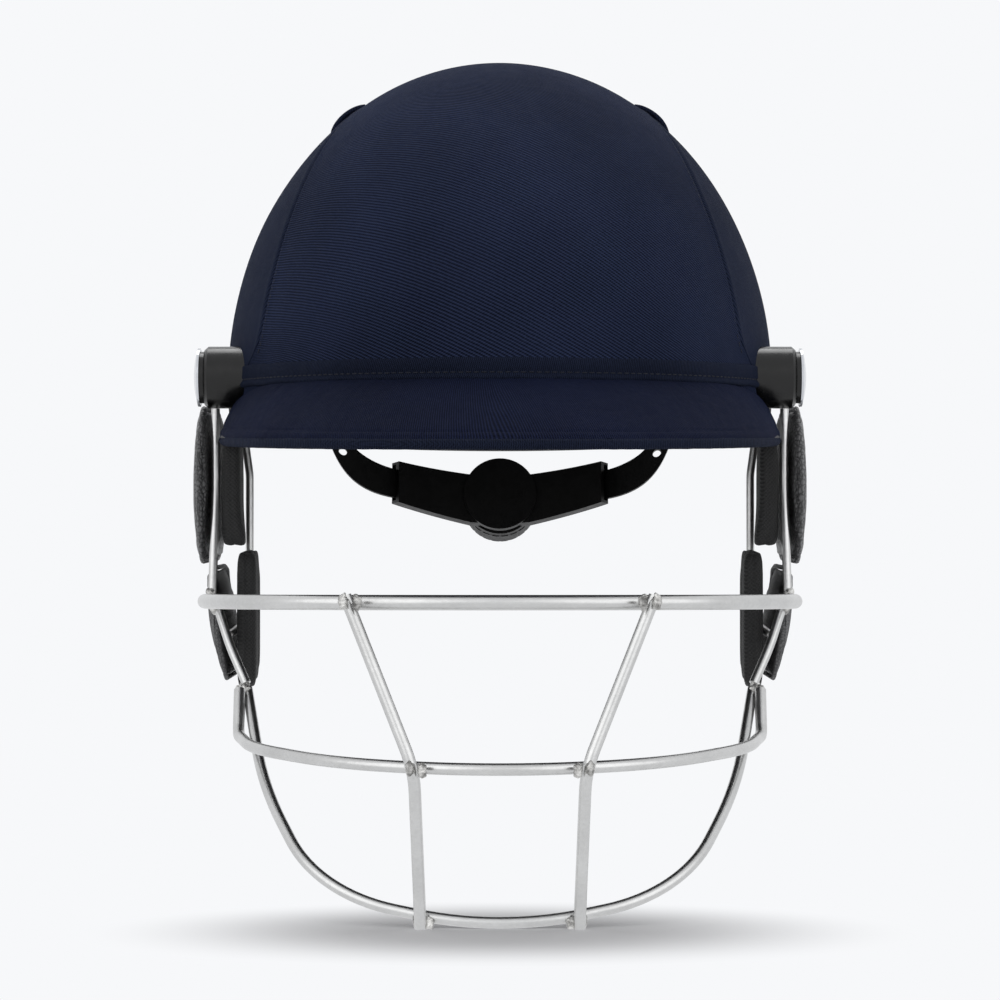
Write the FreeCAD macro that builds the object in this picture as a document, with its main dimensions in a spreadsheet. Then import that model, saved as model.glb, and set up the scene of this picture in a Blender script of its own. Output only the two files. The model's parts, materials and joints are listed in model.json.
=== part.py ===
import FreeCAD, Part
import math
import os
import Sketcher
from FreeCAD import Placement, Rotation, Vector

# Cricket helmet with a welded wire face guard, worn pose, millimetres.
# X runs to the wearer's left and right, the face looks along -Y and Z is up.
# The origin is the middle of the head space at the level of the peak's edge.

SIZES = {
    # dome: half axes of the cloth surface and the layers under it
    "dome_half_width": 104.0,
    "dome_half_length": 131.0,
    "dome_half_height": 123.0,
    "dome_centre_height": 28.0,
    "cloth_thickness": 1.2,
    "shell_wall": 3.5,
    "liner_thickness": 9.0,
    "layer_gap": 0.05,
    "rim_height": 13.0,
    "rim_tilt": 3.1,
    "liner_setback": 3.0,
    "trim_height": 6.0,
    "trim_wall": 1.4,
    # cover seams, hem and vents
    "seam_gap": 0.4,
    "seam_start_x": 97.5,
    "seam_start_y": -47.0,
    "seam_low_x": 92.0,
    "seam_low_y": -60.9,
    "seam_front_x": 84.0,
    "seam_front_y": -69.3,
    "seam_side_x": 74.3,
    "seam_side_y": -57.9,
    "seam_crown_x": 60.7,
    "seam_crown_y": -27.1,
    "seam_rear_x": 48.0,
    "seam_rear_y": 50.0,
    "seam_nape_x": 50.0,
    "seam_nape_y": 144.0,
    "hem_top_height": 32.0,
    "hem_bottom_height": 25.5,
    "hem_thickness": 1.0,
    "vent_lean": 34.0,
    "vent_centre_y": 8.0,
    "vent_length": 64.0,
    "vent_width": 26.0,
    "vent_rise": 3.0,
    "vent_sink": 5.0,
    "vent_wall": 1.3,
    "vent_mouth_y": -12.0,
    "vent_mouth_depth": 7.0,
    "vent_insert_setback": 1.2,
    "hem_setback": 24.0,
    # peak
    "peak_front_y": -182.0,
    "peak_half_width": 104.5,
    "peak_root_height": 24.0,
    "peak_root_drop": 6.0,
    "peak_layer_gap": 0.15,
    "peak_drop_start": 0.72,
    "peak_edge_rise": 3.0,
    "peak_edge_height": 1.6,
    "peak_crown": 2.4,
    "peak_crown_fade": 0.85,
    "peak_squareness": 0.82,
    "peak_core_thickness": 2.6,
    "peak_cloth_thickness": 1.0,
    "peak_wrap_angle": 68.5,
    "peak_edge_angle": 78.0,
    "piping_radius": 1.5,
    "piping_gap": 0.2,
    # side bosses
    "boss_y": -45.0,
    "boss_z": 29.5,
    "boss_radius": 11.5,
    "boss_inner_x": 99.2,
    "boss_saddle_depth": 8.0,
    "boss_outer_x": 109.6,
    "boss_groove": 1.6,
    "boss_clearance": 0.3,
    "boss_groove_radius": 9.6,
    "cap_rim": 0.8,
    "cap_rise": 1.6,
    "cap_shank_radius": 3.0,
    "bore_clearance": 0.15,
    "tee_nut_x": 86.6,
    "tee_barrel_radius": 5.0,
    "tee_nut_radius": 9.0,
    "tee_nut_thickness": 1.8,
    # face guard rods
    "top_bar_radius": 2.6,
    "top_bar_front_y": -176.0,
    "top_bar_height": -50.2,
    "top_bar_drop": 3.0,
    "top_bar_end_x": 107.0,
    "top_bar_end_y": -52.0,
    "middle_bar_radius": 2.1,
    "middle_bar_front_y": -181.0,
    "middle_bar_height": -106.0,
    "middle_bar_rise": 5.4,
    "cluster_x": 94.0,
    "cluster_y": -70.0,
    "cluster_z": -85.0,
    "arm_bend_radius": 8.0,
    "chin_bar_radius": 2.0,
    "chin_reach": 118.5,
    "chin_slope": 40.4,
    "cross_bar_radius": 2.1,
    "cross_top_x": 49.5,
    "cross_middle_x": 27.9,
    "cross_bottom_x": 26.0,
    "cross_overrun": 2.6,
    "cross_bend_radius": 26.0,
    "top_bend_share": 0.62,
    "top_bend_setback": 60.0,
    "top_front_setback": 15.0,
    "middle_elbow_setback": 16.0,
    "upright_radius": 1.6,
    "side_rod_radius": 1.7,
    "rear_rod_radius": 1.6,
    "rear_rod_x": 101.0,
    "rear_rod_inner_x": 99.3,
    "rear_rod_joggle": 6.0,
    "rear_rod_y": 40.0,
    "rear_rod_top": 23.0,
    "rear_rod_level": -66.0,
    "rear_rod_bend": 12.0,
    "weld_gap": 0.1,
    "clip_width": 9.0,
    "clip_wall": 2.0,
    # ear flaps and pads
    "flap_inner_x": 107.8,
    "flap_thickness": 6.8,
    "flap_front_y": -52.0,
    "flap_rear_y": 46.0,
    "flap_top": 18.8,
    "flap_bottom": -39.5,
    "flap_corner": 20.0,
    "lower_flap_x": 106.6,
    "lower_flap_thickness": 4.8,
    "lower_flap_lean": 9.0,
    "lower_flap_top": -41.0,
    "lower_flap_bottom": -83.5,
    "lower_flap_front_y": -51.0,
    "lower_flap_rear_y": 34.0,
    "lower_flap_corner": 15.0,
    "ear_pad_outer_x": 103.8,
    "ear_pad_thickness": 8.4,
    "ear_pad_top": 8.0,
    "ear_pad_bottom": -34.0,
    "cheek_pad_outer_x": 98.2,
    "cheek_pad_thickness": 8.8,
    "cheek_pad_top": -34.6,
    "cheek_pad_bottom": -86.5,
    "pad_front_y": -50.5,
    "pad_rear_y": 37.5,
    "cheek_pad_rear_y": 22.0,
    "pad_corner": 5.0,
    # fitting pads inside the liner
    "fit_pad_thickness": 7.0,
    "brow_pad_height": 24.0,
    "brow_pad_half_angle": 52.0,
    "crown_pad_radius": 40.0,
    "side_pad_length": 62.0,
    "side_pad_height": 40.0,
    "nape_pad_half_width": 38.0,
    "fit_pad_base": 20.0,
    # rear size adjuster, in its own tilted frame
    "cradle_y": -4.0,
    "cradle_z": 11.0,
    "cradle_tilt": 13.5,
    "cradle_reach": 111.0,
    "strip_pivot_x": 78.0,
    "strip_width": 11.6,
    "strip_rise": 26.0,
    "strip_head_angle": 31.0,
    "strip_thickness": 1.6,
    "strip_spacing": 0.95,
    "strip_overlap": 15.0,
    "strip_travel": 6.0,
    "strip_front_margin": 7.0,
    "strip_level_half": 23.5,
    "strip_end_margin": 2.6,
    "strip_layout_radius": 82.9,
    "strip_hole_x": 64.0,
    "strip_hole_z": 11.4,
    "strip_hole_radius": 1.6,
    "liner_room": 2.5,
    "liner_room_above": 6.0,
    "stud_radius": 1.5,
    "stud_clearance": 0.1,
    "slot_overrun": 1.6,
    "stud_head_radius": 2.8,
    "stud_head_x": 71.6,
    "hanger_outer_x": 88.8,
    "hanger_thickness": 2.0,
    "hanger_width": 16.0,
    "hanger_reach_up": 6.0,
    "hanger_reach_down": 14.0,
    "pinion_pitch_radius": 3.2,
    "pinion_teeth": 8.0,
    "tooth_depth": 1.15,
    "tooth_base": 1.0,
    "tooth_tip": 0.5,
    "tooth_clearance": 0.2,
    "housing_half_angle": 32.0,
    "housing_height": 17.0,
    "housing_lift": 3.2,
    "housing_drop": 3.4,
    "housing_wall": 2.4,
    "housing_gap": 0.3,
    "housing_boss_radius": 15.0,
    "housing_boss_rise": 2.6,
    "dial_radius": 15.8,
    "dial_height": 11.0,
    "dial_gap": 0.4,
    "dial_ribs": 24.0,
    "dial_rib_radius": 1.1,
    "dial_shaft_radius": 2.2,
    "shaft_clearance": 0.05,
    "click_inner_radius": 7.0,
    "click_outer_radius": 11.0,
    "click_thickness": 0.9,
}

# Sizes that follow from the ones above
DERIVED = {
    "boss_bore": "cap_shank_radius + bore_clearance",
    "boss_length": "boss_outer_x - boss_inner_x",
    "boss_root": "-boss_saddle_depth",
    "boss_shoulder": "boss_outer_x - boss_inner_x - 1.4",
    "boss_face_radius": "boss_radius - 1.2",
    "boss_neck_end": "boss_outer_x - boss_inner_x + boss_groove",
    "cap_radius": "boss_radius - 0.6",
    "cap_seat": "boss_neck_end + layer_gap",
    "cap_edge": "cap_seat + cap_rim",
    "cap_top": "cap_edge + cap_rise",
    "cap_sphere": "(cap_radius ^ 2 + cap_rise ^ 2) / (2 * cap_rise)",
    "cap_mid_radius": "cap_sphere * sin(asin(cap_radius / cap_sphere) / 2)",
    "cap_mid_top": "cap_top - cap_sphere * (1 - cos(asin(cap_radius / cap_sphere) / 2))",
    "cap_end": "tee_nut_x - boss_inner_x + 0.4",
    "nut_bore": "cap_shank_radius + layer_gap",
    "shaft_bore": "dial_shaft_radius + shaft_clearance",
    "strip_inner_r": "cradle_ring_r - strip_spacing - strip_thickness / 2",
    "strip_outer_r": "cradle_ring_r + strip_spacing + strip_thickness / 2",
    "cradle_centre": "(cradle_reach ^ 2 - strip_pivot_x ^ 2) / (2 * cradle_reach)",
    "cradle_ring_r": "cradle_reach - cradle_centre",
    "pinion_tip": "pinion_pitch_radius + tooth_depth / 2 - tooth_clearance / 2",
    "pinion_root": "pinion_pitch_radius - tooth_depth / 2 - tooth_clearance / 2",
    "strip_stretch": "cradle_ring_r / strip_layout_radius",
}

doc = FreeCAD.newDocument("helmet")
sheet = doc.addObject("Spreadsheet::Sheet", "sizes")
CELLS = {**SIZES, **{alias: "=" + formula for alias, formula in DERIVED.items()}}
for row, (alias, value) in enumerate(CELLS.items(), start=1):
    sheet.set(f"A{row}", alias)
    sheet.set(f"B{row}", str(value))
    sheet.setAlias(f"B{row}", alias)
doc.recompute()

parts = []


def size(alias):
    """Return one driving dimension from the sheet."""
    return float(sheet.get(alias))


def bind(target, prop, formula):
    """Tie a property to the sheet; words in braces are aliases."""
    target.setExpression(prop, formula.replace("{", "sizes.").replace("}", ""))


def keep(target, label):
    """Name an object as one piece of the helmet."""
    target.Label = label
    parts.append(target)
    return target


def feature(label, shape, placement=None):
    """Hold a shape that is made from the sheet's sizes as one piece."""
    target = doc.addObject("Part::Feature", label + "_shape")
    target.Shape = shape
    if placement is not None:
        target.Placement = placement.multiply(target.Placement)
    return keep(target, label)


def mirrored(shape):
    """Mirror a shape to the other side of the helmet."""
    return shape.mirror(Vector(0, 0, 0), Vector(1, 0, 0))


# Layers of the dome

CENTRE = Vector(0, 0, size("dome_centre_height"))


def dome_axes(inset):
    """Half axes of the dome surface moved inwards by inset."""
    return (
        size("dome_half_width") - inset,
        size("dome_half_length") - inset,
        size("dome_half_height") - inset,
    )


def dome_object(name, inset_formula):
    """An ellipsoid bound to the sheet, inset from the cloth surface."""
    solid = doc.addObject("Part::Ellipsoid", name)
    bind(solid, "Radius1", "{dome_half_height} - (" + inset_formula + ")")
    bind(solid, "Radius2", "{dome_half_width} - (" + inset_formula + ")")
    bind(solid, "Radius3", "{dome_half_length} - (" + inset_formula + ")")
    solid.Angle1 = -90
    solid.Angle2 = 90
    solid.Angle3 = 360
    bind(solid, "Placement.Base.z", "{dome_centre_height}")
    return solid


def cut(name, base, tool):
    """Cut one object with another."""
    result = doc.addObject("Part::Cut", name)
    result.Base = base
    result.Tool = tool
    return result


def slab_below_rim(name, setback_formula):
    """A block whose tilted top face is the plane of the rim."""
    block = doc.addObject("Part::Box", name)
    bind(block, "Length", "4 * {dome_half_width}")
    bind(block, "Width", "4 * {dome_half_length}")
    bind(block, "Height", "2 * {dome_half_height}")
    tilt = math.radians(size("rim_tilt"))
    depth = 2 * size("dome_half_height")
    half = 2 * size("dome_half_length")
    top = size("rim_height")
    block.Placement = Placement(
        Vector(
            -2 * size("dome_half_width"),
            -half * math.cos(tilt) - depth * math.sin(tilt),
            top + half * math.sin(tilt) - depth * math.cos(tilt),
        ),
        Rotation(Vector(1, 0, 0), -size("rim_tilt")),
    )
    bind(
        block,
        "Placement.Base.z",
        "{rim_height} + (" + setback_formula + ") + 2 * {dome_half_length} * sin({rim_tilt} * 1 deg)"
        " - 2 * {dome_half_height} * cos({rim_tilt} * 1 deg)",
    )
    return block


def layer(name, outer_formula, inner_formula, setback_formula):
    """One layer of the dome, open below the plane of the rim."""
    outer = dome_object(name + "_outer", outer_formula)
    inner = dome_object(name + "_inner", inner_formula)
    hollow = cut(name + "_hollow", outer, inner)
    return cut(name + "_cut", hollow, slab_below_rim(name + "_rim", setback_formula))


def bored(name, base, radius_formula):
    """Drill the two holes for the side screws or their nuts through a layer."""
    drills = []
    for side, sign in (("left", -1), ("right", 1)):
        drill = doc.addObject("Part::Cylinder", f"{name}_drill_{side}")
        bind(drill, "Radius", radius_formula)
        bind(drill, "Height", "{dome_half_width}")
        drill.Placement = Placement(
            Vector(sign * size("dome_half_width") / 2, size("boss_y"), size("boss_z")),
            Rotation(Vector(0, 1, 0), sign * 90),
        )
        bind(drill, "Placement.Base.y", "{boss_y}")
        bind(drill, "Placement.Base.z", "{boss_z}")
        drills.append(drill)
    both = doc.addObject("Part::MultiFuse", name + "_drills")
    both.Shapes = drills
    return cut(name + "_bored", base, both)


def ellipsoid(inset):
    """A plain ellipsoid shape, inset from the cloth surface."""
    half_x, half_y, half_z = dome_axes(inset)
    ball = Part.makeSphere(1.0)
    matrix = FreeCAD.Matrix()
    matrix.scale(half_x, half_y, half_z)
    ball = ball.transformGeometry(matrix)
    ball.translate(CENTRE)
    return ball


def rim_block(setback):
    """The tilted block under the rim, as a shape."""
    reach = 2 * size("dome_half_length")
    block = Part.makeBox(2 * reach, 2 * reach, reach, Vector(-reach, -reach, -reach))
    block.rotate(Vector(0, 0, 0), Vector(1, 0, 0), -size("rim_tilt"))
    block.translate(Vector(0, 0, size("rim_height") + setback))
    return block


def dome_layer(outer_inset, inner_inset):
    """A closed hollow layer between two insets."""
    return ellipsoid(outer_inset).cut(ellipsoid(inner_inset))


cloth = size("cloth_thickness")
gap = size("layer_gap")
wall = size("shell_wall")
foam = size("liner_thickness")

outer_shell = bored(
    "shell",
    layer(
        "shell",
        "{cloth_thickness} + {layer_gap}",
        "{cloth_thickness} + {shell_wall}",
        "0",
    ),
    "{cap_shank_radius} + {bore_clearance}",
)
keep(outer_shell, "outer_shell")

foam_liner = bored(
    "liner",
    layer(
        "liner",
        "{cloth_thickness} + {shell_wall} + {layer_gap}",
        "{cloth_thickness} + {shell_wall} + {liner_thickness}",
        "{liner_setback}",
    ),
    "{tee_nut_radius} + {bore_clearance}",
)


def side_region(sign, clear):
    """A tall block over the side panel, bounded by the seam in plan."""
    reach = 1.2 * size("dome_half_width")
    rear = size("seam_nape_y") + clear
    shift = clear * sign

    def at(name, y_clear):
        """A named point of the seam, moved back from it by the clearance."""
        return Vector(sign * size(f"seam_{name}_x") + shift, size(f"seam_{name}_y") + y_clear, 0)

    start = at("start", clear)
    front = at("front", clear)
    crown = at("crown", clear)
    nape = Vector(sign * size("seam_nape_x") + shift, rear, 0)
    outside = Vector(sign * reach, size("seam_start_y") + clear, 0)
    corner = Vector(sign * reach, rear, 0)
    edges = [
        Part.LineSegment(outside, start).toShape(),
        Part.Arc(start, at("low", clear), front).toShape(),
        Part.Arc(front, at("side", clear), crown).toShape(),
        Part.Arc(crown, at("rear", 0), nape).toShape(),
        Part.LineSegment(nape, corner).toShape(),
        Part.LineSegment(corner, outside).toShape(),
    ]
    return Part.Face(Part.Wire(edges)).extrude(Vector(0, 0, 2 * size("dome_half_height")))


def boss_seat(sign, clear):
    """Round clearance about a side boss."""
    seat = Part.makeCylinder(
        size("boss_radius") + clear,
        size("dome_half_width"),
        Vector(sign * size("dome_half_width") / 2, size("boss_y"), size("boss_z")),
        Vector(sign, 0, 0),
    )
    return seat


cover = dome_layer(0, cloth).cut(rim_block(size("trim_height") + gap))
cover = cover.cut(boss_seat(-1, gap)).cut(boss_seat(1, gap))
front_panel = cover.cut(side_region(-1, 0)).cut(side_region(1, 0))
feature("front_cloth_panel", front_panel)
for side, sign in (("left", -1), ("right", 1)):
    panel = cover.common(side_region(sign, size("seam_gap")))
    feature(f"{side}_cloth_panel", panel)


def hem_shape():
    """The folded edge of the cloth over the peak's root."""
    band = dome_layer(-size("hem_thickness"), -gap)
    top = size("hem_top_height")
    bottom = size("hem_bottom_height")
    reach = 2 * size("dome_half_length")
    front = size("boss_y") + size("boss_radius") + size("hem_thickness")
    slab = Part.makeBox(
        2 * reach, reach, top - bottom, Vector(-reach, front - size("hem_setback") - reach, bottom)
    )
    return band.common(slab)


feature("brow_hem", hem_shape())

rim_band = dome_layer(-size("trim_wall") + cloth, cloth)
rim_band = rim_band.cut(rim_block(-gap)).common(rim_block(size("trim_height")))
rim_lip = dome_layer(-size("trim_wall") + cloth, cloth + wall + size("trim_wall"))
rim_lip = rim_lip.cut(rim_block(-size("trim_wall"))).common(rim_block(-gap))
reach = 2 * size("dome_half_length")
trim_front = size("boss_y") - 2.0
front_clear = Part.makeBox(2 * reach, reach, reach, Vector(-reach, trim_front - reach, -reach / 2))
rim_trim = rim_band.fuse(rim_lip).removeSplitter().cut(front_clear)
rim_trim = rim_trim.cut(boss_seat(-1, gap)).cut(boss_seat(1, gap))
feature("rim_trim", rim_trim)

# Vents at the sides of the crown


def vent_body(sign, grow):
    """The raised hood of a crown vent, a stretched ellipsoid seated on the dome."""
    lean = math.radians(size("vent_lean"))
    half_x, half_y, half_z = dome_axes(0)
    surface = Vector(sign * half_x * math.sin(lean), size("vent_centre_y"), half_z * math.cos(lean))
    outward = Vector(surface.x / half_x**2, 0, surface.z / half_z**2).normalize()
    matrix = FreeCAD.Matrix()
    matrix.scale(
        size("vent_width") / 2 + grow,
        size("vent_length") / 2 + grow,
        size("vent_rise") + size("vent_sink") + grow,
    )
    blob = Part.makeSphere(1.0).transformGeometry(matrix)
    blob.rotate(Vector(0, 0, 0), Vector(0, 1, 0), math.degrees(math.atan2(outward.x, outward.z)))
    blob.translate(CENTRE + surface - outward * size("vent_sink"))
    return blob


def slice_across(front, rear):
    """A slab of space between two depths."""
    reach = 2 * size("dome_half_width")
    return Part.makeBox(2 * reach, rear - front, 2 * reach, Vector(-reach, front, -reach / 2))


mouth_y = size("vent_mouth_y")
mouth_back = mouth_y + size("vent_mouth_depth")
vent_wall = size("vent_wall")
above_cloth = ellipsoid(-gap)
for side, sign in (("left", -1), ("right", 1)):
    hood = vent_body(sign, 0).cut(above_cloth).cut(slice_across(mouth_y - 200, mouth_y))
    hood = hood.cut(vent_body(sign, -vent_wall).common(slice_across(mouth_y - 1, mouth_back)))
    insert = vent_body(sign, -vent_wall - gap).cut(above_cloth)
    insert = insert.common(slice_across(mouth_y + size("vent_insert_setback"), mouth_back - gap))
    feature(f"{side}_vent_hood", hood)
    feature(f"{side}_vent_insert", insert)

# Peak: a stiff core between two cloth faces, with a piped edge


def peak_station(angle):
    """The peak's surface, its width, and its outward and upward directions at one angle."""
    root_half_x, root_half_y, _ = dome_axes(-gap - 0.15)
    share = angle / size("peak_wrap_angle")
    turn = math.radians(angle)
    swing = math.radians(share * size("peak_edge_angle"))
    late = max(0.0, abs(share) - size("peak_drop_start")) / (1 - size("peak_drop_start"))
    root_height = size("peak_root_height") - size("peak_root_drop") * late**2
    root = Vector(root_half_x * math.sin(turn), -root_half_y * math.cos(turn), root_height)
    breadth = abs(math.sin(swing)) ** size("peak_squareness")
    edge = Vector(
        math.copysign(size("peak_half_width") * breadth, angle),
        size("peak_front_y") * math.cos(swing) ** size("peak_squareness"),
        size("peak_edge_height") + size("peak_edge_rise") * share * share,
    )
    along = (edge - root).normalize()
    tangent = Vector(math.cos(turn) * root_half_x, math.sin(turn) * root_half_y, 0).normalize()
    normal = along.cross(tangent).normalize()
    width = (edge - root).Length
    crown = 4 * size("peak_crown") * (1 - size("peak_crown_fade") * share**4)

    def surface(distance):
        """A point of the crowned surface at a distance from the root."""
        part = distance / width
        return root + along * distance + normal * (crown * part * (1 - part))

    return surface, width, along, normal


def peak_section(angle, low, high, inset_root, inset_edge):
    """Closed crowned section of one peak layer between two offsets."""
    surface, width, _, normal = peak_station(angle)
    start = surface(inset_root)
    middle = surface(width / 2)
    end = surface(width - inset_edge)
    upper = Part.Arc(start + normal * high, middle + normal * high, end + normal * high)
    lower = Part.Arc(end + normal * low, middle + normal * low, start + normal * low)
    return Part.Wire([
        upper.toShape(),
        Part.LineSegment(end + normal * high, end + normal * low).toShape(),
        lower.toShape(),
        Part.LineSegment(start + normal * low, start + normal * high).toShape(),
    ])


def peak_layer(low, high, inset_root, inset_edge, inset_end):
    """Loft one layer of the peak from side to side."""
    last = size("peak_wrap_angle") - inset_end
    count = 12
    stations = [last * (2 * i / count - 1) for i in range(count + 1)]
    wires = [peak_section(a, low, high, inset_root, inset_edge) for a in stations]
    return Part.makeLoft(wires, True, False)


core_half = size("peak_core_thickness") / 2
skin = size("peak_cloth_thickness")
peak_gap = size("peak_layer_gap")
piping = size("piping_radius")
peak_edge_inset = piping + gap
boss_notch = boss_seat(-1, size("boss_clearance")).fuse(boss_seat(1, size("boss_clearance")))
peak_clear = ellipsoid(-gap - 0.1).fuse(boss_notch)
core = peak_layer(-core_half, core_half, 0.5, peak_edge_inset + 0.6, 1.0)
feature("peak_core", core.cut(peak_clear))
upper_cloth = peak_layer(core_half + peak_gap, core_half + peak_gap + skin, 0.3, peak_edge_inset, 0.5)
hem_clear = ellipsoid(-size("hem_thickness") - 2 * gap)
feature("peak_cloth_upper", upper_cloth.cut(hem_clear).cut(boss_notch))
lower_cloth = peak_layer(-core_half - peak_gap - skin, -core_half - peak_gap, 0.3, peak_edge_inset, 0.5)
feature("peak_cloth_lower", lower_cloth.cut(peak_clear))


def piping_section(angle):
    """A round edge with a flat back, across the peak's free edge."""
    surface, width, along, normal = peak_station(angle)
    radius = core_half + skin + peak_gap + gap
    back = surface(width - peak_edge_inset) + along * size("piping_gap")
    lean = math.radians(8)
    upper = back + normal * radius
    lower = back - normal * radius
    high = back + (along * math.sin(lean * 5) + normal * math.cos(lean * 5)) * radius
    low = back + (along * math.sin(lean * 5) - normal * math.cos(lean * 5)) * radius
    return Part.Wire([
        Part.LineSegment(lower, upper).toShape(),
        Part.Arc(upper, (upper + high) * 0.5 + (along + normal).normalize() * 0.12, high).toShape(),
        Part.Arc(high, back + along * radius, low).toShape(),
        Part.Arc(low, (lower + low) * 0.5 + (along - normal).normalize() * 0.12, lower).toShape(),
    ])


def piping_shape():
    """The piped cord along the peak's free edge."""
    last = size("peak_wrap_angle") - 0.5
    count = 12
    stations = [last * (2 * i / count - 1) for i in range(count + 1)]
    return Part.makeLoft([piping_section(a) for a in stations], True, False)


slack = peak_gap + gap
wrapped = peak_layer(
    -core_half - skin - slack, core_half + skin + slack, 0.3, peak_edge_inset - gap, 0
)
feature("peak_piping", piping_shape().cut(wrapped).cut(boss_notch))

# Rods of the face guard


def rounded_path(points, radii):
    """A wire through points with a tangent arc at each inner point."""
    edges = []
    last = points[0]
    for before, corner, after, radius in zip(points, points[1:], points[2:], radii):
        inward = (before - corner).normalize()
        outward = (after - corner).normalize()
        turn = math.pi - inward.getAngle(outward)
        room = 0.49 * min((before - corner).Length, (after - corner).Length)
        reach = min(radius * math.tan(turn / 2), room)
        radius = reach / math.tan(turn / 2)
        start = corner + inward * reach
        end = corner + outward * reach
        bisector = (inward + outward).normalize()
        centre_distance = radius / math.cos(turn / 2)
        middle = corner + bisector * (centre_distance - radius)
        edges.append(Part.LineSegment(last, start).toShape())
        edges.append(Part.Arc(start, middle, end).toShape())
        last = end
    edges.append(Part.LineSegment(last, points[-1]).toShape())
    return Part.Wire(edges)


def rod(path, radius):
    """A round rod swept along a path."""
    first = path.OrderedEdges[0]
    start = first.valueAt(first.FirstParameter)
    ahead = first.tangentAt(first.FirstParameter)
    profile = Part.Wire(Part.makeCircle(radius, start, ahead))
    sweep = Part.BRepOffsetAPI.MakePipeShell(path)
    sweep.add(profile)
    sweep.build()
    sweep.makeSolid()
    return sweep.shape()


def symmetric(points):
    """Points from the left side through the middle to the right side."""
    return points + [Vector(-p.x, p.y, p.z) for p in reversed(points[:-1])]


top_r = size("top_bar_radius")
middle_r = size("middle_bar_radius")
chin_r = size("chin_bar_radius")
cross_r = size("cross_bar_radius")
upright_r = size("upright_radius")
side_r = size("side_rod_radius")
rear_r = size("rear_rod_radius")
weld = size("weld_gap")


def top_bar_point(x, y):
    """A point in the tilted plane of the top bar."""
    front = size("top_bar_front_y")
    drop = size("top_bar_drop") * (y - front) / (size("top_bar_end_y") - front)
    return Vector(x, y, size("top_bar_height") - drop)


end_x = size("top_bar_end_x")
top_front = size("top_bar_front_y")
top_points = symmetric([
    top_bar_point(-end_x, size("top_bar_end_y")),
    top_bar_point(-end_x + 2, top_front + size("top_bend_setback")),
    top_bar_point(-size("top_bend_share") * end_x, top_front + size("top_front_setback")),
    top_bar_point(0, top_front),
])
top_path = rounded_path(top_points, [88, 86, 158, 86, 88])
feature("top_bar", rod(top_path, top_r))

cluster_x = size("cluster_x")
cluster_y = size("cluster_y")
cluster_z = size("cluster_z")
middle_front = size("middle_bar_front_y")
middle_low = size("middle_bar_height")
middle_high = middle_low + size("middle_bar_rise")


def middle_bar_point(x, y):
    """A point in the tilted plane of the middle bar."""
    elbow_y = cluster_y - size("middle_elbow_setback")
    share = (y - middle_front) / (elbow_y - middle_front)
    return Vector(x, y, middle_low + share * size("middle_bar_rise"))


arm_start = Vector(-cluster_x - 0.5, cluster_y - middle_r - chin_r - 0.2, cluster_z)
middle_points = symmetric([
    arm_start,
    Vector(-cluster_x, cluster_y - size("middle_elbow_setback"), middle_high),
    middle_bar_point(-0.92 * cluster_x, cluster_y - 52),
    middle_bar_point(-0.58 * cluster_x, middle_front + 19),
    middle_bar_point(0, middle_front),
])
bend = size("arm_bend_radius")
middle_path = rounded_path(middle_points, [bend, 62, 84, 120, 84, 62, bend])
feature("middle_bar", rod(middle_path, middle_r))

chin_angle = math.radians(size("chin_slope"))
chin_reach = size("chin_reach")
chin_start_x = cluster_x - 2


def chin_bar_point(x, share):
    """A point in the sloping plane of the chin bar."""
    run = share * chin_reach
    return Vector(x, cluster_y - run * math.cos(chin_angle), cluster_z - run * math.sin(chin_angle))


chin_points = symmetric([
    chin_bar_point(-chin_start_x, 0),
    chin_bar_point(-0.908 * chin_start_x, 0.42),
    chin_bar_point(-0.674 * chin_start_x, 0.852),
    chin_bar_point(0, 1),
])
chin_path = rounded_path(chin_points, [170, 68, 106, 68, 170])
feature("chin_bar", rod(chin_path, chin_r))


def bar_at(path, x):
    """The point of a bar's left half at a distance x from the middle, and its tangent there."""
    samples = [p for p in path.discretize(Number=600) if p.y < cluster_y - 30 and p.x < 0]
    index = min(range(1, len(samples) - 1), key=lambda i: abs(samples[i].x + x))
    tangent = (samples[index + 1] - samples[index - 1]).normalize()
    return samples[index], tangent


def in_front(point, tangent, run, radius):
    """Move a bar's point forward to where a cross bar rests on it."""
    ahead = tangent.cross(run).normalize()
    if ahead.y > 0:
        ahead = ahead.negative()
    return point + ahead * (radius + cross_r + weld)


at_top, top_tangent = bar_at(top_path, size("cross_top_x"))
at_middle, middle_tangent = bar_at(middle_path, size("cross_middle_x"))
at_bottom, chin_tangent = bar_at(chin_path, size("cross_bottom_x"))
upper_run = (at_top - at_middle).normalize()
lower_run = (at_bottom - at_middle).normalize()
cross_top = in_front(at_top, top_tangent, upper_run, top_r)
cross_middle = in_front(at_middle, middle_tangent, upper_run - lower_run, middle_r)
cross_bottom = in_front(at_bottom, chin_tangent, lower_run, chin_r)
upper_run = (cross_top - cross_middle).normalize()
lower_run = (cross_bottom - cross_middle).normalize()
cross_start = cross_top + upper_run * size("cross_overrun")
cross_end = cross_bottom + lower_run * size("cross_overrun")
bend_turn = math.pi - upper_run.getAngle(lower_run)
bend_rise = size("cross_bend_radius") * (1 / math.cos(bend_turn / 2) - 1)
cross_corner = cross_middle + (upper_run + lower_run).normalize() * -bend_rise
cross_path = rounded_path([cross_start, cross_corner, cross_end], [size("cross_bend_radius")])
cross_bar = rod(cross_path, cross_r)
feature("left_cross_bar", cross_bar)
feature("right_cross_bar", mirrored(cross_bar))

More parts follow.
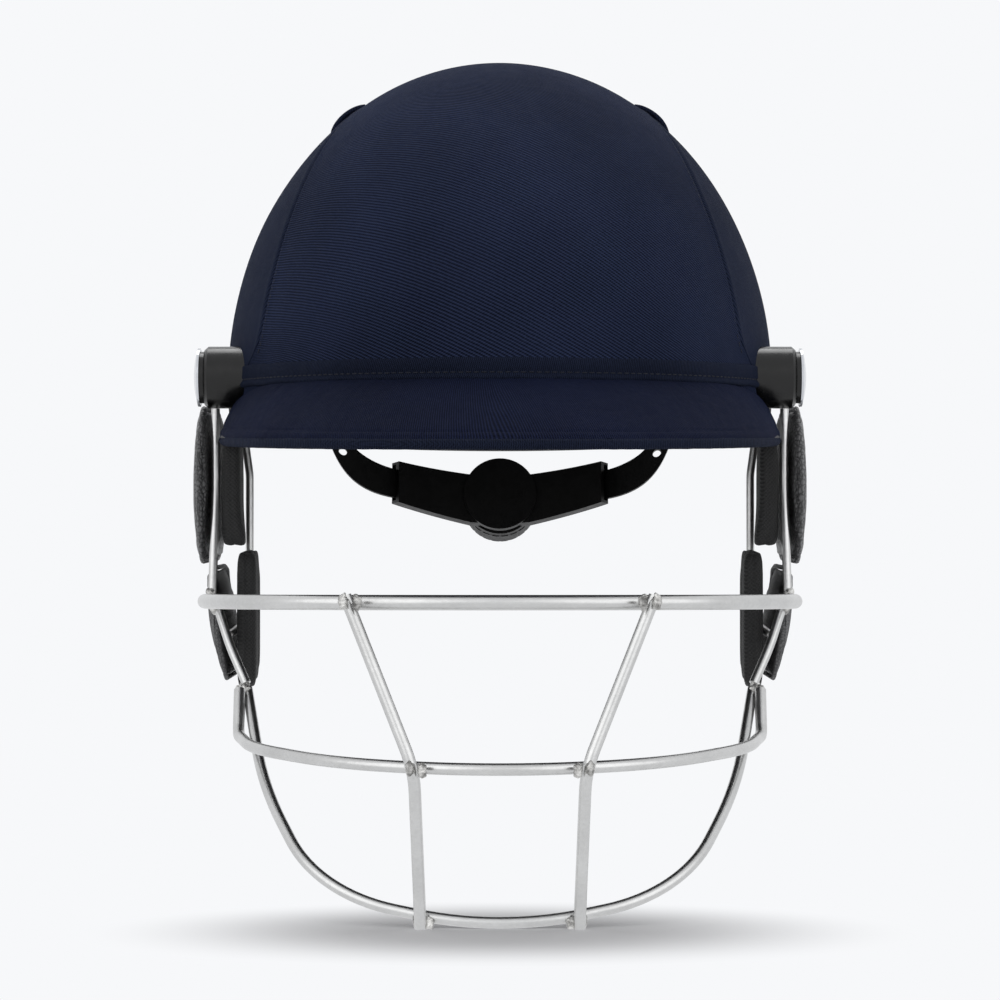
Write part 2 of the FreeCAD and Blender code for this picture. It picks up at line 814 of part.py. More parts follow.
boss_y = size("boss_y")
boss_z = size("boss_z")
boss_r = size("boss_radius")
upright_x = (size("boss_inner_x") + size("boss_outer_x")) / 2 + 1.3
upright_top = Vector(-upright_x, boss_y, boss_z - boss_r - weld)
upright_knee = Vector(-upright_x + 0.2, boss_y - 1.0, -14)
upright_foot = Vector(
    -end_x + 0.9,
    size("top_bar_end_y") - 2.4,
    size("top_bar_height") - size("top_bar_drop") + top_r + upright_r * 0.35,
)
upright_path = rounded_path([upright_top, upright_knee, upright_foot], [60])
upright = rod(upright_path, upright_r)
upright = upright.cut(rod(top_path, top_r + 0.05))
feature("left_front_upright", upright)
feature("right_front_upright", mirrored(upright))

side_top = Vector(-end_x + 3.2, size("top_bar_end_y") - 4, size("top_bar_height") - size("top_bar_drop") - top_r)
side_foot = Vector(-chin_start_x - 0.4, cluster_y + 0.3, cluster_z + 2.2)
side_knee = side_top * 0.5 + side_foot * 0.5 + Vector(-0.8, -0.6, 0)
side_rod = rod(rounded_path([side_top, side_knee, side_foot], [90]), side_r)
side_rod = side_rod.cut(rod(top_path, top_r + 0.05))
feature("left_side_rod", side_rod)
feature("right_side_rod", mirrored(side_rod))

rear_x = size("rear_rod_x")
rear_y = size("rear_rod_y")
rear_level = size("rear_rod_level")
share = (rear_level - side_top.z) / (side_foot.z - side_top.z)
meet = side_top + (side_foot - side_top) * share
rear_start = meet + Vector(-0.6, side_r + rear_r * 0.2, 0)
rear_inner_x = size("rear_rod_inner_x")
joggle = size("rear_rod_joggle")
rear_bend = size("rear_rod_bend")
rear_points = [
    rear_start,
    Vector(-rear_inner_x - 1.1, 4, rear_level + 1),
    Vector(-rear_inner_x, rear_y, rear_level + 3),
    Vector(-rear_inner_x, rear_y, -joggle),
    Vector(-rear_x, rear_y, joggle),
    Vector(-rear_x, rear_y, size("rear_rod_top")),
]
rear_radii = [120, rear_bend, 2 * rear_bend, 2 * rear_bend]
rear_rod = rod(rounded_path(rear_points, rear_radii), rear_r)
rear_rod = rear_rod.cut(rod(rounded_path([side_top, side_knee, side_foot], [90]), side_r + 0.05))
feature("left_rear_rod", rear_rod)
feature("right_rear_rod", mirrored(rear_rod))


def rear_clip():
    """A moulded saddle that holds the rear rod on the shell's side."""
    width = size("clip_width")
    wall_size = size("clip_wall")
    low = size("rear_rod_top") - width - 1
    block = Part.makeBox(
        2 * rear_r + 2 * wall_size + 3,
        2 * rear_r + 2 * wall_size + 8,
        width,
        Vector(-rear_x - rear_r - wall_size, rear_y - rear_r - wall_size, low),
    )
    block = block.makeFillet(1.2, [e for e in block.Edges if abs(e.Vertexes[0].X - e.Vertexes[1].X) > 1])
    bore = Part.makeCylinder(rear_r + 0.05, 3 * width, Vector(-rear_x, rear_y, low - width))
    return block.cut(bore).cut(ellipsoid(-0.2))


clip = rear_clip()
feature("left_rear_clip", clip)
feature("right_rear_clip", mirrored(clip))

# Side bosses, their screws and nuts


def value_of(coordinate):
    """A coordinate is an alias, an alias with a minus sign, or a number."""
    if not isinstance(coordinate, str):
        return float(coordinate)
    if coordinate.startswith("-"):
        return -size(coordinate[1:])
    return size(coordinate)


def draw_outline(body, name, role, outline):
    """Draw a closed bound outline; a row of three starts an arc through its third entry."""
    sketch = body.newObject("Sketcher::SketchObject", name)
    plane = next(f for f in body.Origin.OriginFeatures if f.Role == role)
    sketch.AttachmentSupport = (plane, [""])
    sketch.MapMode = "FlatFace"
    points = [Vector(value_of(row[0]), value_of(row[1]), 0) for row in outline]
    for i, row in enumerate(outline):
        start = points[i]
        end = points[(i + 1) % len(points)]
        if len(row) == 3:
            middle = Vector(value_of(row[2][0]), value_of(row[2][1]), 0)
            sketch.addGeometry(Part.Arc(start, middle, end), False)
        else:
            sketch.addGeometry(Part.LineSegment(start, end), False)
    for i, row in enumerate(outline):
        start = 1 if sketch.getPoint(i, 1).distanceToPoint(points[i]) < 1e-6 else 2
        before = (i - 1) % len(outline)
        end = 2 if sketch.getPoint(before, 2).distanceToPoint(points[i]) < 1e-6 else 1
        sketch.addConstraint(Sketcher.Constraint("Coincident", before, end, i, start))
        for kind, coordinate, place in (
            ("DistanceX", row[0], points[i].x),
            ("DistanceY", row[1], points[i].y),
        ):
            index = sketch.addConstraint(Sketcher.Constraint(kind, -1, 1, i, start, place))
            if isinstance(coordinate, str):
                sign = "-" if coordinate.startswith("-") else ""
                bind(sketch, f"Constraints[{index}]", sign + "{" + coordinate.lstrip("-") + "}")
    return sketch


def turned_body(label, outline, placement):
    """A body turned about its own Z axis."""
    body = doc.addObject("PartDesign::Body", label + "_body")
    sketch = draw_outline(body, label + "_outline", "XZ_Plane", outline)
    turned = body.newObject("PartDesign::Revolution", label + "_turned")
    turned.Profile = sketch
    turned.ReferenceAxis = (sketch, ["V_Axis"])
    turned.Angle = 360
    doc.recompute()
    body.Placement = placement
    return keep(body, label)


def facing(sign, x):
    """Placement of a turned piece whose axis points out to one side."""
    return Placement(Vector(sign * x, boss_y, boss_z), Rotation(Vector(0, 1, 0), sign * 90))


def tee_nut(sign):
    """The flanged nut on the inside of the shell that takes a cap screw."""
    start = Vector(sign * size("tee_nut_x"), boss_y, boss_z)
    out = Vector(sign, 0, 0)
    flange = Part.makeCylinder(size("tee_nut_radius"), size("tee_nut_thickness"), start, out)
    barrel = Part.makeCylinder(size("tee_barrel_radius"), size("dome_half_width"), start, out)
    barrel = barrel.common(ellipsoid(cloth + wall + gap))
    return flange.fuse(barrel).removeSplitter().cut(
        Part.makeCylinder(size("nut_bore"), size("dome_half_width"), start - out, out)
    )


for side, sign in (("left", -1), ("right", 1)):
    barrel = turned_body(
        f"{side}_boss_barrel",
        [
            ("boss_bore", "boss_root"),
            ("boss_radius", "boss_root"),
            ("boss_radius", "boss_shoulder"),
            ("boss_face_radius", "boss_length"),
            ("boss_groove_radius", "boss_length"),
            ("boss_groove_radius", "boss_neck_end"),
            ("boss_bore", "boss_neck_end"),
        ],
        facing(sign, size("boss_inner_x")),
    )
    parts.remove(barrel)
    saddle = dome_object(f"{side}_boss_saddle", "{cloth_thickness}")
    keep(cut(f"{side}_boss_cut", barrel, saddle), f"{side}_boss")
    feature(f"{side}_tee_nut", tee_nut(sign))
    turned_body(
        f"{side}_cap_screw",
        [
            (0, "cap_end"),
            ("cap_shank_radius", "cap_end"),
            ("cap_shank_radius", "cap_seat"),
            ("cap_radius", "cap_seat"),
            ("cap_radius", "cap_edge", ("cap_mid_radius", "cap_mid_top")),
            (0, "cap_top"),
        ],
        facing(sign, size("boss_inner_x")),
    )

# Ear flaps and the pads inside the side frames


def rounded_outline(x, front, rear, bottom, top, corner):
    """A rounded rectangle across X, with each round corner as one arc."""
    c = min(corner, 0.49 * (rear - front), 0.49 * (top - bottom))
    k = c * (1 - math.sqrt(0.5))
    p = lambda y, z: Vector(x, y, z)
    edges = [
        Part.LineSegment(p(front + c, bottom), p(rear - c, bottom)),
        Part.Arc(p(rear - c, bottom), p(rear - k, bottom + k), p(rear, bottom + c)),
        Part.LineSegment(p(rear, bottom + c), p(rear, top - c)),
        Part.Arc(p(rear, top - c), p(rear - k, top - k), p(rear - c, top)),
        Part.LineSegment(p(rear - c, top), p(front + c, top)),
        Part.Arc(p(front + c, top), p(front + k, top - k), p(front, top - c)),
        Part.LineSegment(p(front, top - c), p(front, bottom + c)),
        Part.Arc(p(front, bottom + c), p(front + k, bottom + k), p(front + c, bottom)),
    ]
    return Part.Wire([e.toShape() for e in edges])


CROWNED = [(0.0, 1.4), (0.3, 0.2), (0.62, 0.8), (0.86, 2.6), (1.0, 6.5)]
FLAT = [(0.0, 1.0), (0.2, 0.1), (0.75, 0.2), (0.93, 0.9), (1.0, 2.2)]


def cushion(x, thickness, front, rear, bottom, top, corner, sign, rows):
    """A pad standing outwards from x on one side; rows give its depth and draw."""
    wires = []
    for share, draw in rows:
        wires.append(
            rounded_outline(
                sign * (x + share * thickness),
                front + draw,
                rear - draw,
                bottom + draw,
                top - draw,
                corner,
            )
        )
    return Part.makeLoft(wires, True, False)


for side, sign in (("left", -1), ("right", 1)):
    feature(
        f"{side}_ear_flap",
        cushion(
            size("flap_inner_x"),
            size("flap_thickness"),
            size("flap_front_y"),
            size("flap_rear_y"),
            size("flap_bottom"),
            size("flap_top"),
            size("flap_corner"),
            sign,
            CROWNED,
        ).cut(ellipsoid(-0.3)),
    )
    lower_flap = cushion(
        size("lower_flap_x"),
        size("lower_flap_thickness"),
        size("lower_flap_front_y"),
        size("lower_flap_rear_y"),
        size("lower_flap_bottom"),
        size("lower_flap_top"),
        size("lower_flap_corner"),
        sign,
        CROWNED,
    )
    lower_flap.rotate(
        Vector(sign * size("lower_flap_x"), 0, size("lower_flap_top")),
        Vector(0, 1, 0),
        sign * size("lower_flap_lean"),
    )
    feature(f"{side}_lower_flap", lower_flap)
    feature(
        f"{side}_ear_pad",
        cushion(
            -size("ear_pad_outer_x"),
            size("ear_pad_thickness"),
            size("pad_front_y"),
            size("pad_rear_y"),
            size("ear_pad_bottom"),
            size("ear_pad_top"),
            size("pad_corner"),
            -sign,
            FLAT,
        ),
    )
    feature(
        f"{side}_cheek_pad",
        cushion(
            -size("cheek_pad_outer_x"),
            size("cheek_pad_thickness"),
            size("pad_front_y"),
            size("cheek_pad_rear_y"),
            size("cheek_pad_bottom"),
            size("cheek_pad_top"),
            size("pad_corner"),
            -sign,
            FLAT,
        ),
    )

# Fitting pads inside the liner

pad_outer = cloth + wall + foam + gap
pad_layer = dome_layer(pad_outer, pad_outer + size("fit_pad_thickness"))
base = size("fit_pad_base")


def sector(half_angle, bottom, top, facing_angle):
    """An upright wedge of the head space between two heights."""
    reach = 2 * size("dome_half_length")
    wedge = Part.makeCylinder(
        reach, top - bottom, Vector(0, 0, bottom), Vector(0, 0, 1), 2 * half_angle
    )
    wedge.rotate(Vector(0, 0, 0), Vector(0, 0, 1), facing_angle - half_angle)
    return wedge


brow_half = size("brow_pad_half_angle")
brow = pad_layer.common(sector(brow_half, base, base + size("brow_pad_height"), -90))
feature("brow_pad", brow)
crown_tool = Part.makeCylinder(size("crown_pad_radius"), 300, Vector(0, 0, 0))
feature("crown_pad", pad_layer.common(crown_tool))
for side, sign in (("left", -1), ("right", 1)):
    half = size("side_pad_length") / 2
    tool = Part.makeBox(
        100, 2 * half, size("side_pad_height"), Vector(0, 12 - half, base + 26)
    )
    if sign < 0:
        tool = mirrored(tool)
    feature(f"{side}_fit_pad", pad_layer.common(tool))
nape_tool = Part.makeBox(
    2 * size("nape_pad_half_width"),
    200,
    size("side_pad_height"),
    Vector(-size("nape_pad_half_width"), 0, base),
)
feature("nape_pad", pad_layer.common(nape_tool))

# Rear size adjuster

CRADLE = Placement(
    Vector(0, size("cradle_y"), size("cradle_z")),
    Rotation(Vector(1, 0, 0), -size("cradle_tilt")),
)
strip_rise = size("strip_rise")
pivot = CRADLE.multVec(Vector(0, 0, strip_rise))
ring_centre = Vector(0, size("cradle_centre"), 0)
ring_r = size("cradle_ring_r")
pivot_angle = -math.degrees(math.asin(size("cradle_centre") / ring_r))
rear_reach = size("cradle_reach")
strip_half = size("strip_width") / 2


def band(inner, outer, bottom, top, start, end):
    """A curved bar about the cradle's centre between two angles."""
    full = Part.makeCylinder(
        outer, top - bottom, ring_centre + Vector(0, 0, bottom), Vector(0, 0, 1), end - start
    )
    core = Part.makeCylinder(inner, top - bottom, ring_centre + Vector(0, 0, bottom))
    full.rotate(ring_centre, Vector(0, 0, 1), start)
    return full.cut(core)


def degrees_of(length):
    """Angle about the cradle's centre of a length along a strip."""
    return math.degrees(length / ring_r)


# Upper and lower edges of a strip as seen along the dial's axis: distance from the middle, height
STRIP_EDGES = [
    [(22, 5.8), (43.4, 8.6), (55, 11.6), (59.5, 14.6), (62, 19.0), (63.5, 25.0), (64.5, 31.8)],
    [(72.5, 20.2), (70.0, 15.5), (67.5, 10.0), (65, 5.8), (60.5, 1.2), (55.0, -1.6), (43.4, -3.4), (22, -5.8)],
]
stretch = size("strip_stretch")


def strip_outline():
    """The rising part of a strip as a block along the dial's axis."""
    upper, lower = ([Vector(x * stretch, 0, z) for x, z in edge] for edge in STRIP_EDGES)
    edges = []
    for points in (upper, lower):
        curve = Part.BSplineCurve()
        curve.interpolate(points)
        edges.append(curve.toShape())
    edges.insert(1, Part.LineSegment(upper[-1], lower[0]).toShape())
    edges.append(Part.LineSegment(lower[-1], upper[0]).toShape())
    face = Part.Face(Part.Wire(edges))
    return face.extrude(Vector(0, 2 * rear_reach, 0))


def strip(side, sign):
    """A size strip with its stud slot, hole and rack; the right one is on top."""
    radius = ring_r + sign * size("strip_spacing")
    half_wall = size("strip_thickness") / 2
    inner = radius - half_wall
    outer = radius + half_wall
    travel = size("strip_travel")
    front = pivot_angle - degrees_of(travel + size("strip_front_margin"))
    end = 90 + degrees_of(size("strip_overlap") + size("strip_end_margin"))
    level = band(inner, outer, -strip_half, strip_half, 90 - degrees_of(size("strip_level_half")), end)
    low = strip_rise - strip_half
    high = strip_rise + strip_half
    head = band(inner, outer, low, high, front, size("strip_head_angle"))
    rise = band(inner, outer, -2 * strip_half, high, 15, 90).common(strip_outline())
    body = level.fuse([head, rise]).removeSplitter()
    slot_half = size("stud_radius") + size("stud_clearance")
    slot = band(
        inner - 1,
        outer + 1,
        strip_rise - slot_half,
        strip_rise + slot_half,
        pivot_angle - degrees_of(travel + slot_half + size("slot_overrun")),
        pivot_angle + degrees_of(travel + slot_half + size("slot_overrun")),
    )
    window = Part.makeCylinder(
        size("strip_hole_radius"),
        2 * rear_reach,
        Vector(size("strip_hole_x") * stretch, 0, size("strip_hole_z")),
        Vector(0, 1, 0),
    )
    rack_near = size("pinion_root") + size("tooth_clearance")
    rack_far = rack_near + size("tooth_depth")
    clear_side = size("pinion_tip") + size("tooth_clearance") + 0.15
    low, high = (-clear_side, rack_near) if sign > 0 else (-rack_near, clear_side)
    reach = degrees_of(size("strip_overlap"))
    opening = band(inner - 1, outer + 1, low, high, 90 - reach, 90 + reach)
    body = body.cut(slot).cut(window).cut(opening)
    pitch = 2 * math.pi * size("pinion_pitch_radius") / size("pinion_teeth")
    count = int((size("strip_overlap") - size("tooth_base")) / pitch)
    half_base = (pitch - size("tooth_base")) / 2
    half_tip = (pitch - size("tooth_tip")) / 2
    depth = rear_reach - size("strip_thickness") * 4
    profile = [
        Vector(-half_tip, depth, sign * (rack_near - size("tooth_clearance"))),
        Vector(half_tip, depth, sign * (rack_near - size("tooth_clearance"))),
        Vector(half_base, depth, sign * rack_far),
        Vector(-half_base, depth, sign * rack_far),
    ]
    notch = Part.Face(Part.makePolygon(profile + [profile[0]])).extrude(Vector(0, rear_reach - depth + 6, 0))
    notches = []
    for i in range(-count, count + 1):
        turned = notch.copy()
        turned.rotate(ring_centre, Vector(0, 0, 1), -math.degrees(i * pitch / radius))
        notches.append(turned)
    body = body.cut(Part.makeCompound(notches))
    return body


right_strip = strip("right", 1)
left_strip = mirrored(strip("left", -1))
feature("left_size_strip", left_strip, CRADLE)
feature("right_size_strip", right_strip, CRADLE)


def hanger():
    """A plate on the liner with the headed stud that carries a strip."""
    outer_x = size("hanger_outer_x")
    thickness = size("hanger_thickness")
    width = size("hanger_width")
    reach_down = size("hanger_reach_down")
    plate = Part.makeBox(
        thickness,
        width,
        size("hanger_reach_up") + reach_down,
        Vector(outer_x - thickness, pivot.y - width / 2, pivot.z - reach_down),
    )
    plate = plate.makeFillet(width * 0.3, [e for e in plate.Edges if abs(e.tangentAt(0).x) > 0.9])
    stud = Part.makeCylinder(
        size("stud_radius"),
        outer_x - thickness - size("stud_head_x"),
        Vector(size("stud_head_x"), pivot.y, pivot.z),
        Vector(1, 0, 0),
    )
    head = Part.makeCylinder(
        size("stud_head_radius"),
        1.6,
        Vector(size("stud_head_x") - 1.0, pivot.y, pivot.z),
        Vector(1, 0, 0),
    )
    collar = Part.makeCone(
        size("stud_head_radius") + 2.0,
        size("stud_head_radius"),
        4.0,
        Vector(outer_x - thickness, pivot.y, pivot.z),
        Vector(-1, 0, 0),
    )
    return plate.fuse([stud, head, collar]).removeSplitter()


feature("right_strip_hanger", hanger())
feature("left_strip_hanger", mirrored(hanger()))

strips_inner = size("strip_inner_r")
strips_outer = size("strip_outer_r")
strip_reach_up = strip_rise + strip_half + size("liner_room_above")
room = band(
    strips_inner - size("liner_room"), strips_outer + size("liner_room"), 0, strip_reach_up, -15, 50
)
room = room.fuse(room.mirror(Vector(0, 0, 0), Vector(1, 0, 0)))
room.Placement = CRADLE.multiply(room.Placement)
liner_recess = doc.addObject("Part::Feature", "liner_recess")
liner_recess.Shape = room
keep(cut("liner_relieved", foam_liner, liner_recess), "foam_liner")

housing_gap = size("housing_gap")
housing_wall = size("housing_wall")
half_angle = size("housing_half_angle")
half_height = size("housing_height") / 2


def disc(radius, start, end):
    """A round plate about the dial's axis between two depths."""
    return Part.makeCylinder(radius, end - start, Vector(0, start, 0), Vector(0, 1, 0))


inner_face = strips_inner - housing_gap - housing_wall
channel_face = strips_inner - housing_gap
outer_face = strips_outer + housing_gap
back_face = outer_face + housing_wall
end_x = inner_face * math.sin(math.radians(half_angle))
lift = size("housing_lift")
drop = size("housing_drop")
boss_edge = size("housing_boss_radius") - 3


def housing_block(top_inset):
    """The housing's outline along the dial's axis: its arms rise from the middle."""
    top = half_height - top_inset
    points = [
        (-end_x - 3, top + lift),
        (-boss_edge, top),
        (boss_edge, top),
        (end_x + 3, top + lift),
        (end_x + 3, -top + lift),
        (boss_edge, -top - drop),
        (-boss_edge, -top - drop),
        (-end_x - 3, -top + lift),
    ]
    outline = Part.makePolygon([Vector(x, 0, z) for x, z in points + points[:1]])
    return Part.Face(outline).extrude(Vector(0, 2 * rear_reach, 0))


# Upper and lower limits of the housing's channel: distance from the middle, height
CHANNEL_TOP = [(18, 7.3), (45, 10.9), (60, 14.0)]
CHANNEL_BOTTOM = [(26, -6.1), (45, -4.35), (60, -2.6)]


def channel_block():
    """The room inside the housing for both strips as they slide."""
    right = [(x * stretch, z) for x, z in CHANNEL_TOP + CHANNEL_BOTTOM[::-1]]
    left = [(-x, z) for x, z in right[::-1]]
    points = right + left
    outline = Part.makePolygon([Vector(x, 0, z) for x, z in points + points[:1]])
    return Part.Face(outline).extrude(Vector(0, 2 * rear_reach, 0))


sweep_angle = 90 - half_angle
reach_z = 2 * half_height
inner_full = band(inner_face, outer_face - gap, -reach_z, reach_z, sweep_angle, 180 - sweep_angle)
channel = band(channel_face, outer_face + 20, -reach_z, reach_z, 0, 180).common(channel_block())
inner_housing = inner_full.common(housing_block(0)).cut(channel)
boss_front = rear_reach - ring_r + inner_face - size("housing_boss_rise")
channel_y = rear_reach - ring_r + channel_face
cover_y = rear_reach - ring_r + outer_face
cover_back = cover_y + housing_wall + 1.4
dial_front = cover_back + size("dial_gap")
dial_back = dial_front + size("dial_height")
boss_disc = disc(size("housing_boss_radius"), boss_front, channel_y - 1.5)
inner_housing = inner_housing.fuse(boss_disc).cut(channel)
inner_housing = inner_housing.cut(disc(size("shaft_bore"), boss_front + 1.2, channel_y + 1))
cover_full = band(outer_face, back_face, -reach_z, reach_z, sweep_angle, 180 - sweep_angle)
cover_shell = cover_full.common(housing_block(0.8))
cover_disc = disc(size("housing_boss_radius"), cover_y - 0.4, cover_back)
cover_disc = cover_disc.cut(band(1, outer_face, -20, 20, 0, 180))
adjuster_cover = cover_shell.fuse(cover_disc).cut(disc(size("shaft_bore"), cover_y - 3, cover_back + 1))

spring_inner = size("click_inner_radius")
spring_outer = size("click_outer_radius")
spring_depth = size("click_thickness")
recess = disc(spring_outer + gap * 2, cover_back - spring_depth, cover_back + 1).cut(
    disc(spring_inner - gap * 2, cover_back - 2 * spring_depth, cover_back + 2)
)
adjuster_cover = adjuster_cover.cut(recess)
click_spring = disc(spring_outer, cover_back - spring_depth + gap, cover_back).cut(
    disc(spring_inner, cover_back - 2 * spring_depth, cover_back + 1)
)
feature("click_spring", click_spring, CRADLE)
feature("adjuster_housing", inner_housing.removeSplitter(), CRADLE)
feature("adjuster_cover", adjuster_cover.removeSplitter(), CRADLE)

dial_body = disc(size("dial_radius") - size("dial_rib_radius") * 0.5, dial_front, dial_back)
dial_body = dial_body.makeFillet(1.6, [max(dial_body.Edges, key=lambda e: e.CenterOfMass.y)])
count = int(round(size("dial_ribs")))
ribs = []
for i in range(count):
    turn = 2 * math.pi * i / count
    spot = Vector(
        math.cos(turn) * (size("dial_radius") + 0.3),
        dial_front - 1,
        math.sin(turn) * (size("dial_radius") + 0.3),
    )
    ribs.append(Part.makeCylinder(size("dial_rib_radius"), dial_back - dial_front + 2, spot, Vector(0, 1, 0)))
dial_body = dial_body.cut(Part.makeCompound(ribs))
dial_body = dial_body.cut(disc(size("dial_shaft_radius") + 0.02, dial_front - 1, dial_front + 5))
feature("size_dial", dial_body, CRADLE)


def pinion_shape():
    """The toothed shaft between the strips and the dial."""
    root = size("pinion_root")
    tip = size("pinion_tip")
    teeth_from = channel_y + 0.15
    teeth_to = cover_y - 0.15
    body = disc(root, teeth_from, teeth_to)
    count = int(round(size("pinion_teeth")))
    for i in range(count):
        half_base = size("tooth_base") / 2
        half_tip = size("tooth_tip") / 2
        profile = [
            Vector(-half_base, teeth_from, root - 0.4),
            Vector(half_base, teeth_from, root - 0.4),
            Vector(half_tip, teeth_from, tip),
            Vector(-half_tip, teeth_from, tip),
        ]
        tooth = Part.Face(Part.makePolygon(profile + [profile[0]]))
        tooth = tooth.extrude(Vector(0, teeth_to - teeth_from, 0))
        tooth.rotate(Vector(0, 0, 0), Vector(0, 1, 0), 360.0 * i / count)
        body = body.fuse(tooth)
    shaft_r = size("dial_shaft_radius")
    front_pin = disc(shaft_r, boss_front + 1.4, teeth_from + 0.1)
    back_pin = disc(shaft_r, teeth_to - 0.1, dial_front + 4.8)
    return body.fuse([front_pin, back_pin]).removeSplitter()


feature("dial_pinion", pinion_shape(), CRADLE)

doc.recompute()
for target in doc.Objects:
    if "Invalid" in target.State or "Error" in target.State:
        raise RuntimeError(f"{target.Label} failed: {target.State}")
os.makedirs("parts", exist_ok=True)
for target in parts:
    shape = target.Shape
    if shape.isNull() or not shape.isValid():
        raise RuntimeError(f"{target.Label} has no valid shape")
    shape.exportStep(f"parts/{target.Label}.step")
    print(f"{target.Label}: {len(shape.Solids)} solid, {shape.Volume / 1000:.2f} cm3")
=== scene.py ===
"""Cricket helmet with a welded wire guard: cloth, padding, welds and finishes over the fixed CAD frame."""

import json
import logging
import math
from dataclasses import dataclass
from enum import Enum
from typing import Callable, Sequence

import bpy
from mathutils import Matrix, Vector, noise

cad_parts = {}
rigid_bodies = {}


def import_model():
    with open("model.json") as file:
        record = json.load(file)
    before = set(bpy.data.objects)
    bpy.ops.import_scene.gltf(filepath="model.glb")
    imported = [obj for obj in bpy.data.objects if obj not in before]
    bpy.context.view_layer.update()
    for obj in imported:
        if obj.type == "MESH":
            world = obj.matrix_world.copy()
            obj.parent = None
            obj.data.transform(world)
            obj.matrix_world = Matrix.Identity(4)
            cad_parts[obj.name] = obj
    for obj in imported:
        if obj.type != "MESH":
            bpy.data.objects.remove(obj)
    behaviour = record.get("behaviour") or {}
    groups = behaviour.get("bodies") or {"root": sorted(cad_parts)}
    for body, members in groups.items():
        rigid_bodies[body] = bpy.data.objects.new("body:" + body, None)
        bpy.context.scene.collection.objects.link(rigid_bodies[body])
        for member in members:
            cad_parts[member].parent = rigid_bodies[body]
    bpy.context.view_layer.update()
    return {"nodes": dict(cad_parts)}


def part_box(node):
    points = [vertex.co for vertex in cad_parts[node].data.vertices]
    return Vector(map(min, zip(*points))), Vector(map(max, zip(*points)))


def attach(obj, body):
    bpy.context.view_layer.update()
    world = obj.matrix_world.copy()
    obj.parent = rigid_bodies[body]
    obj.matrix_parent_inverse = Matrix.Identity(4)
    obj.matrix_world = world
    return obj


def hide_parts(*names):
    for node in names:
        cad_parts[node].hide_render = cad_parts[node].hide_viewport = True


LOG = logging.getLogger("helmet")
TINY = 1e-9
Socket = bpy.types.NodeSocket
Piece = bpy.types.Object
Tree = bpy.types.NodeTree
Node = bpy.types.Node
Colour = tuple[float, float, float]
Path = list[Vector]

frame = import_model()


class Side(Enum):
    """The two sides of the helmet, as seen in the picture."""

    LEFT = -1
    RIGHT = 1

    @property
    def label(self) -> str:
        """Return the side's word in piece names."""
        return self.name.lower()


# ---- Finishes ----


def linear(colour: Colour) -> tuple[float, float, float, float]:
    """Turn a display colour of 0 to 255 into a linear one.

    Args:
        colour: Red, green and blue as a picture holds them.

    Returns:
        The linear colour with full alpha.
    """
    parts = [c / 255.0 for c in colour]
    flat = [p / 12.92 if p <= 0.04045 else ((p + 0.055) / 1.055) ** 2.4 for p in parts]
    return (flat[0], flat[1], flat[2], 1.0)


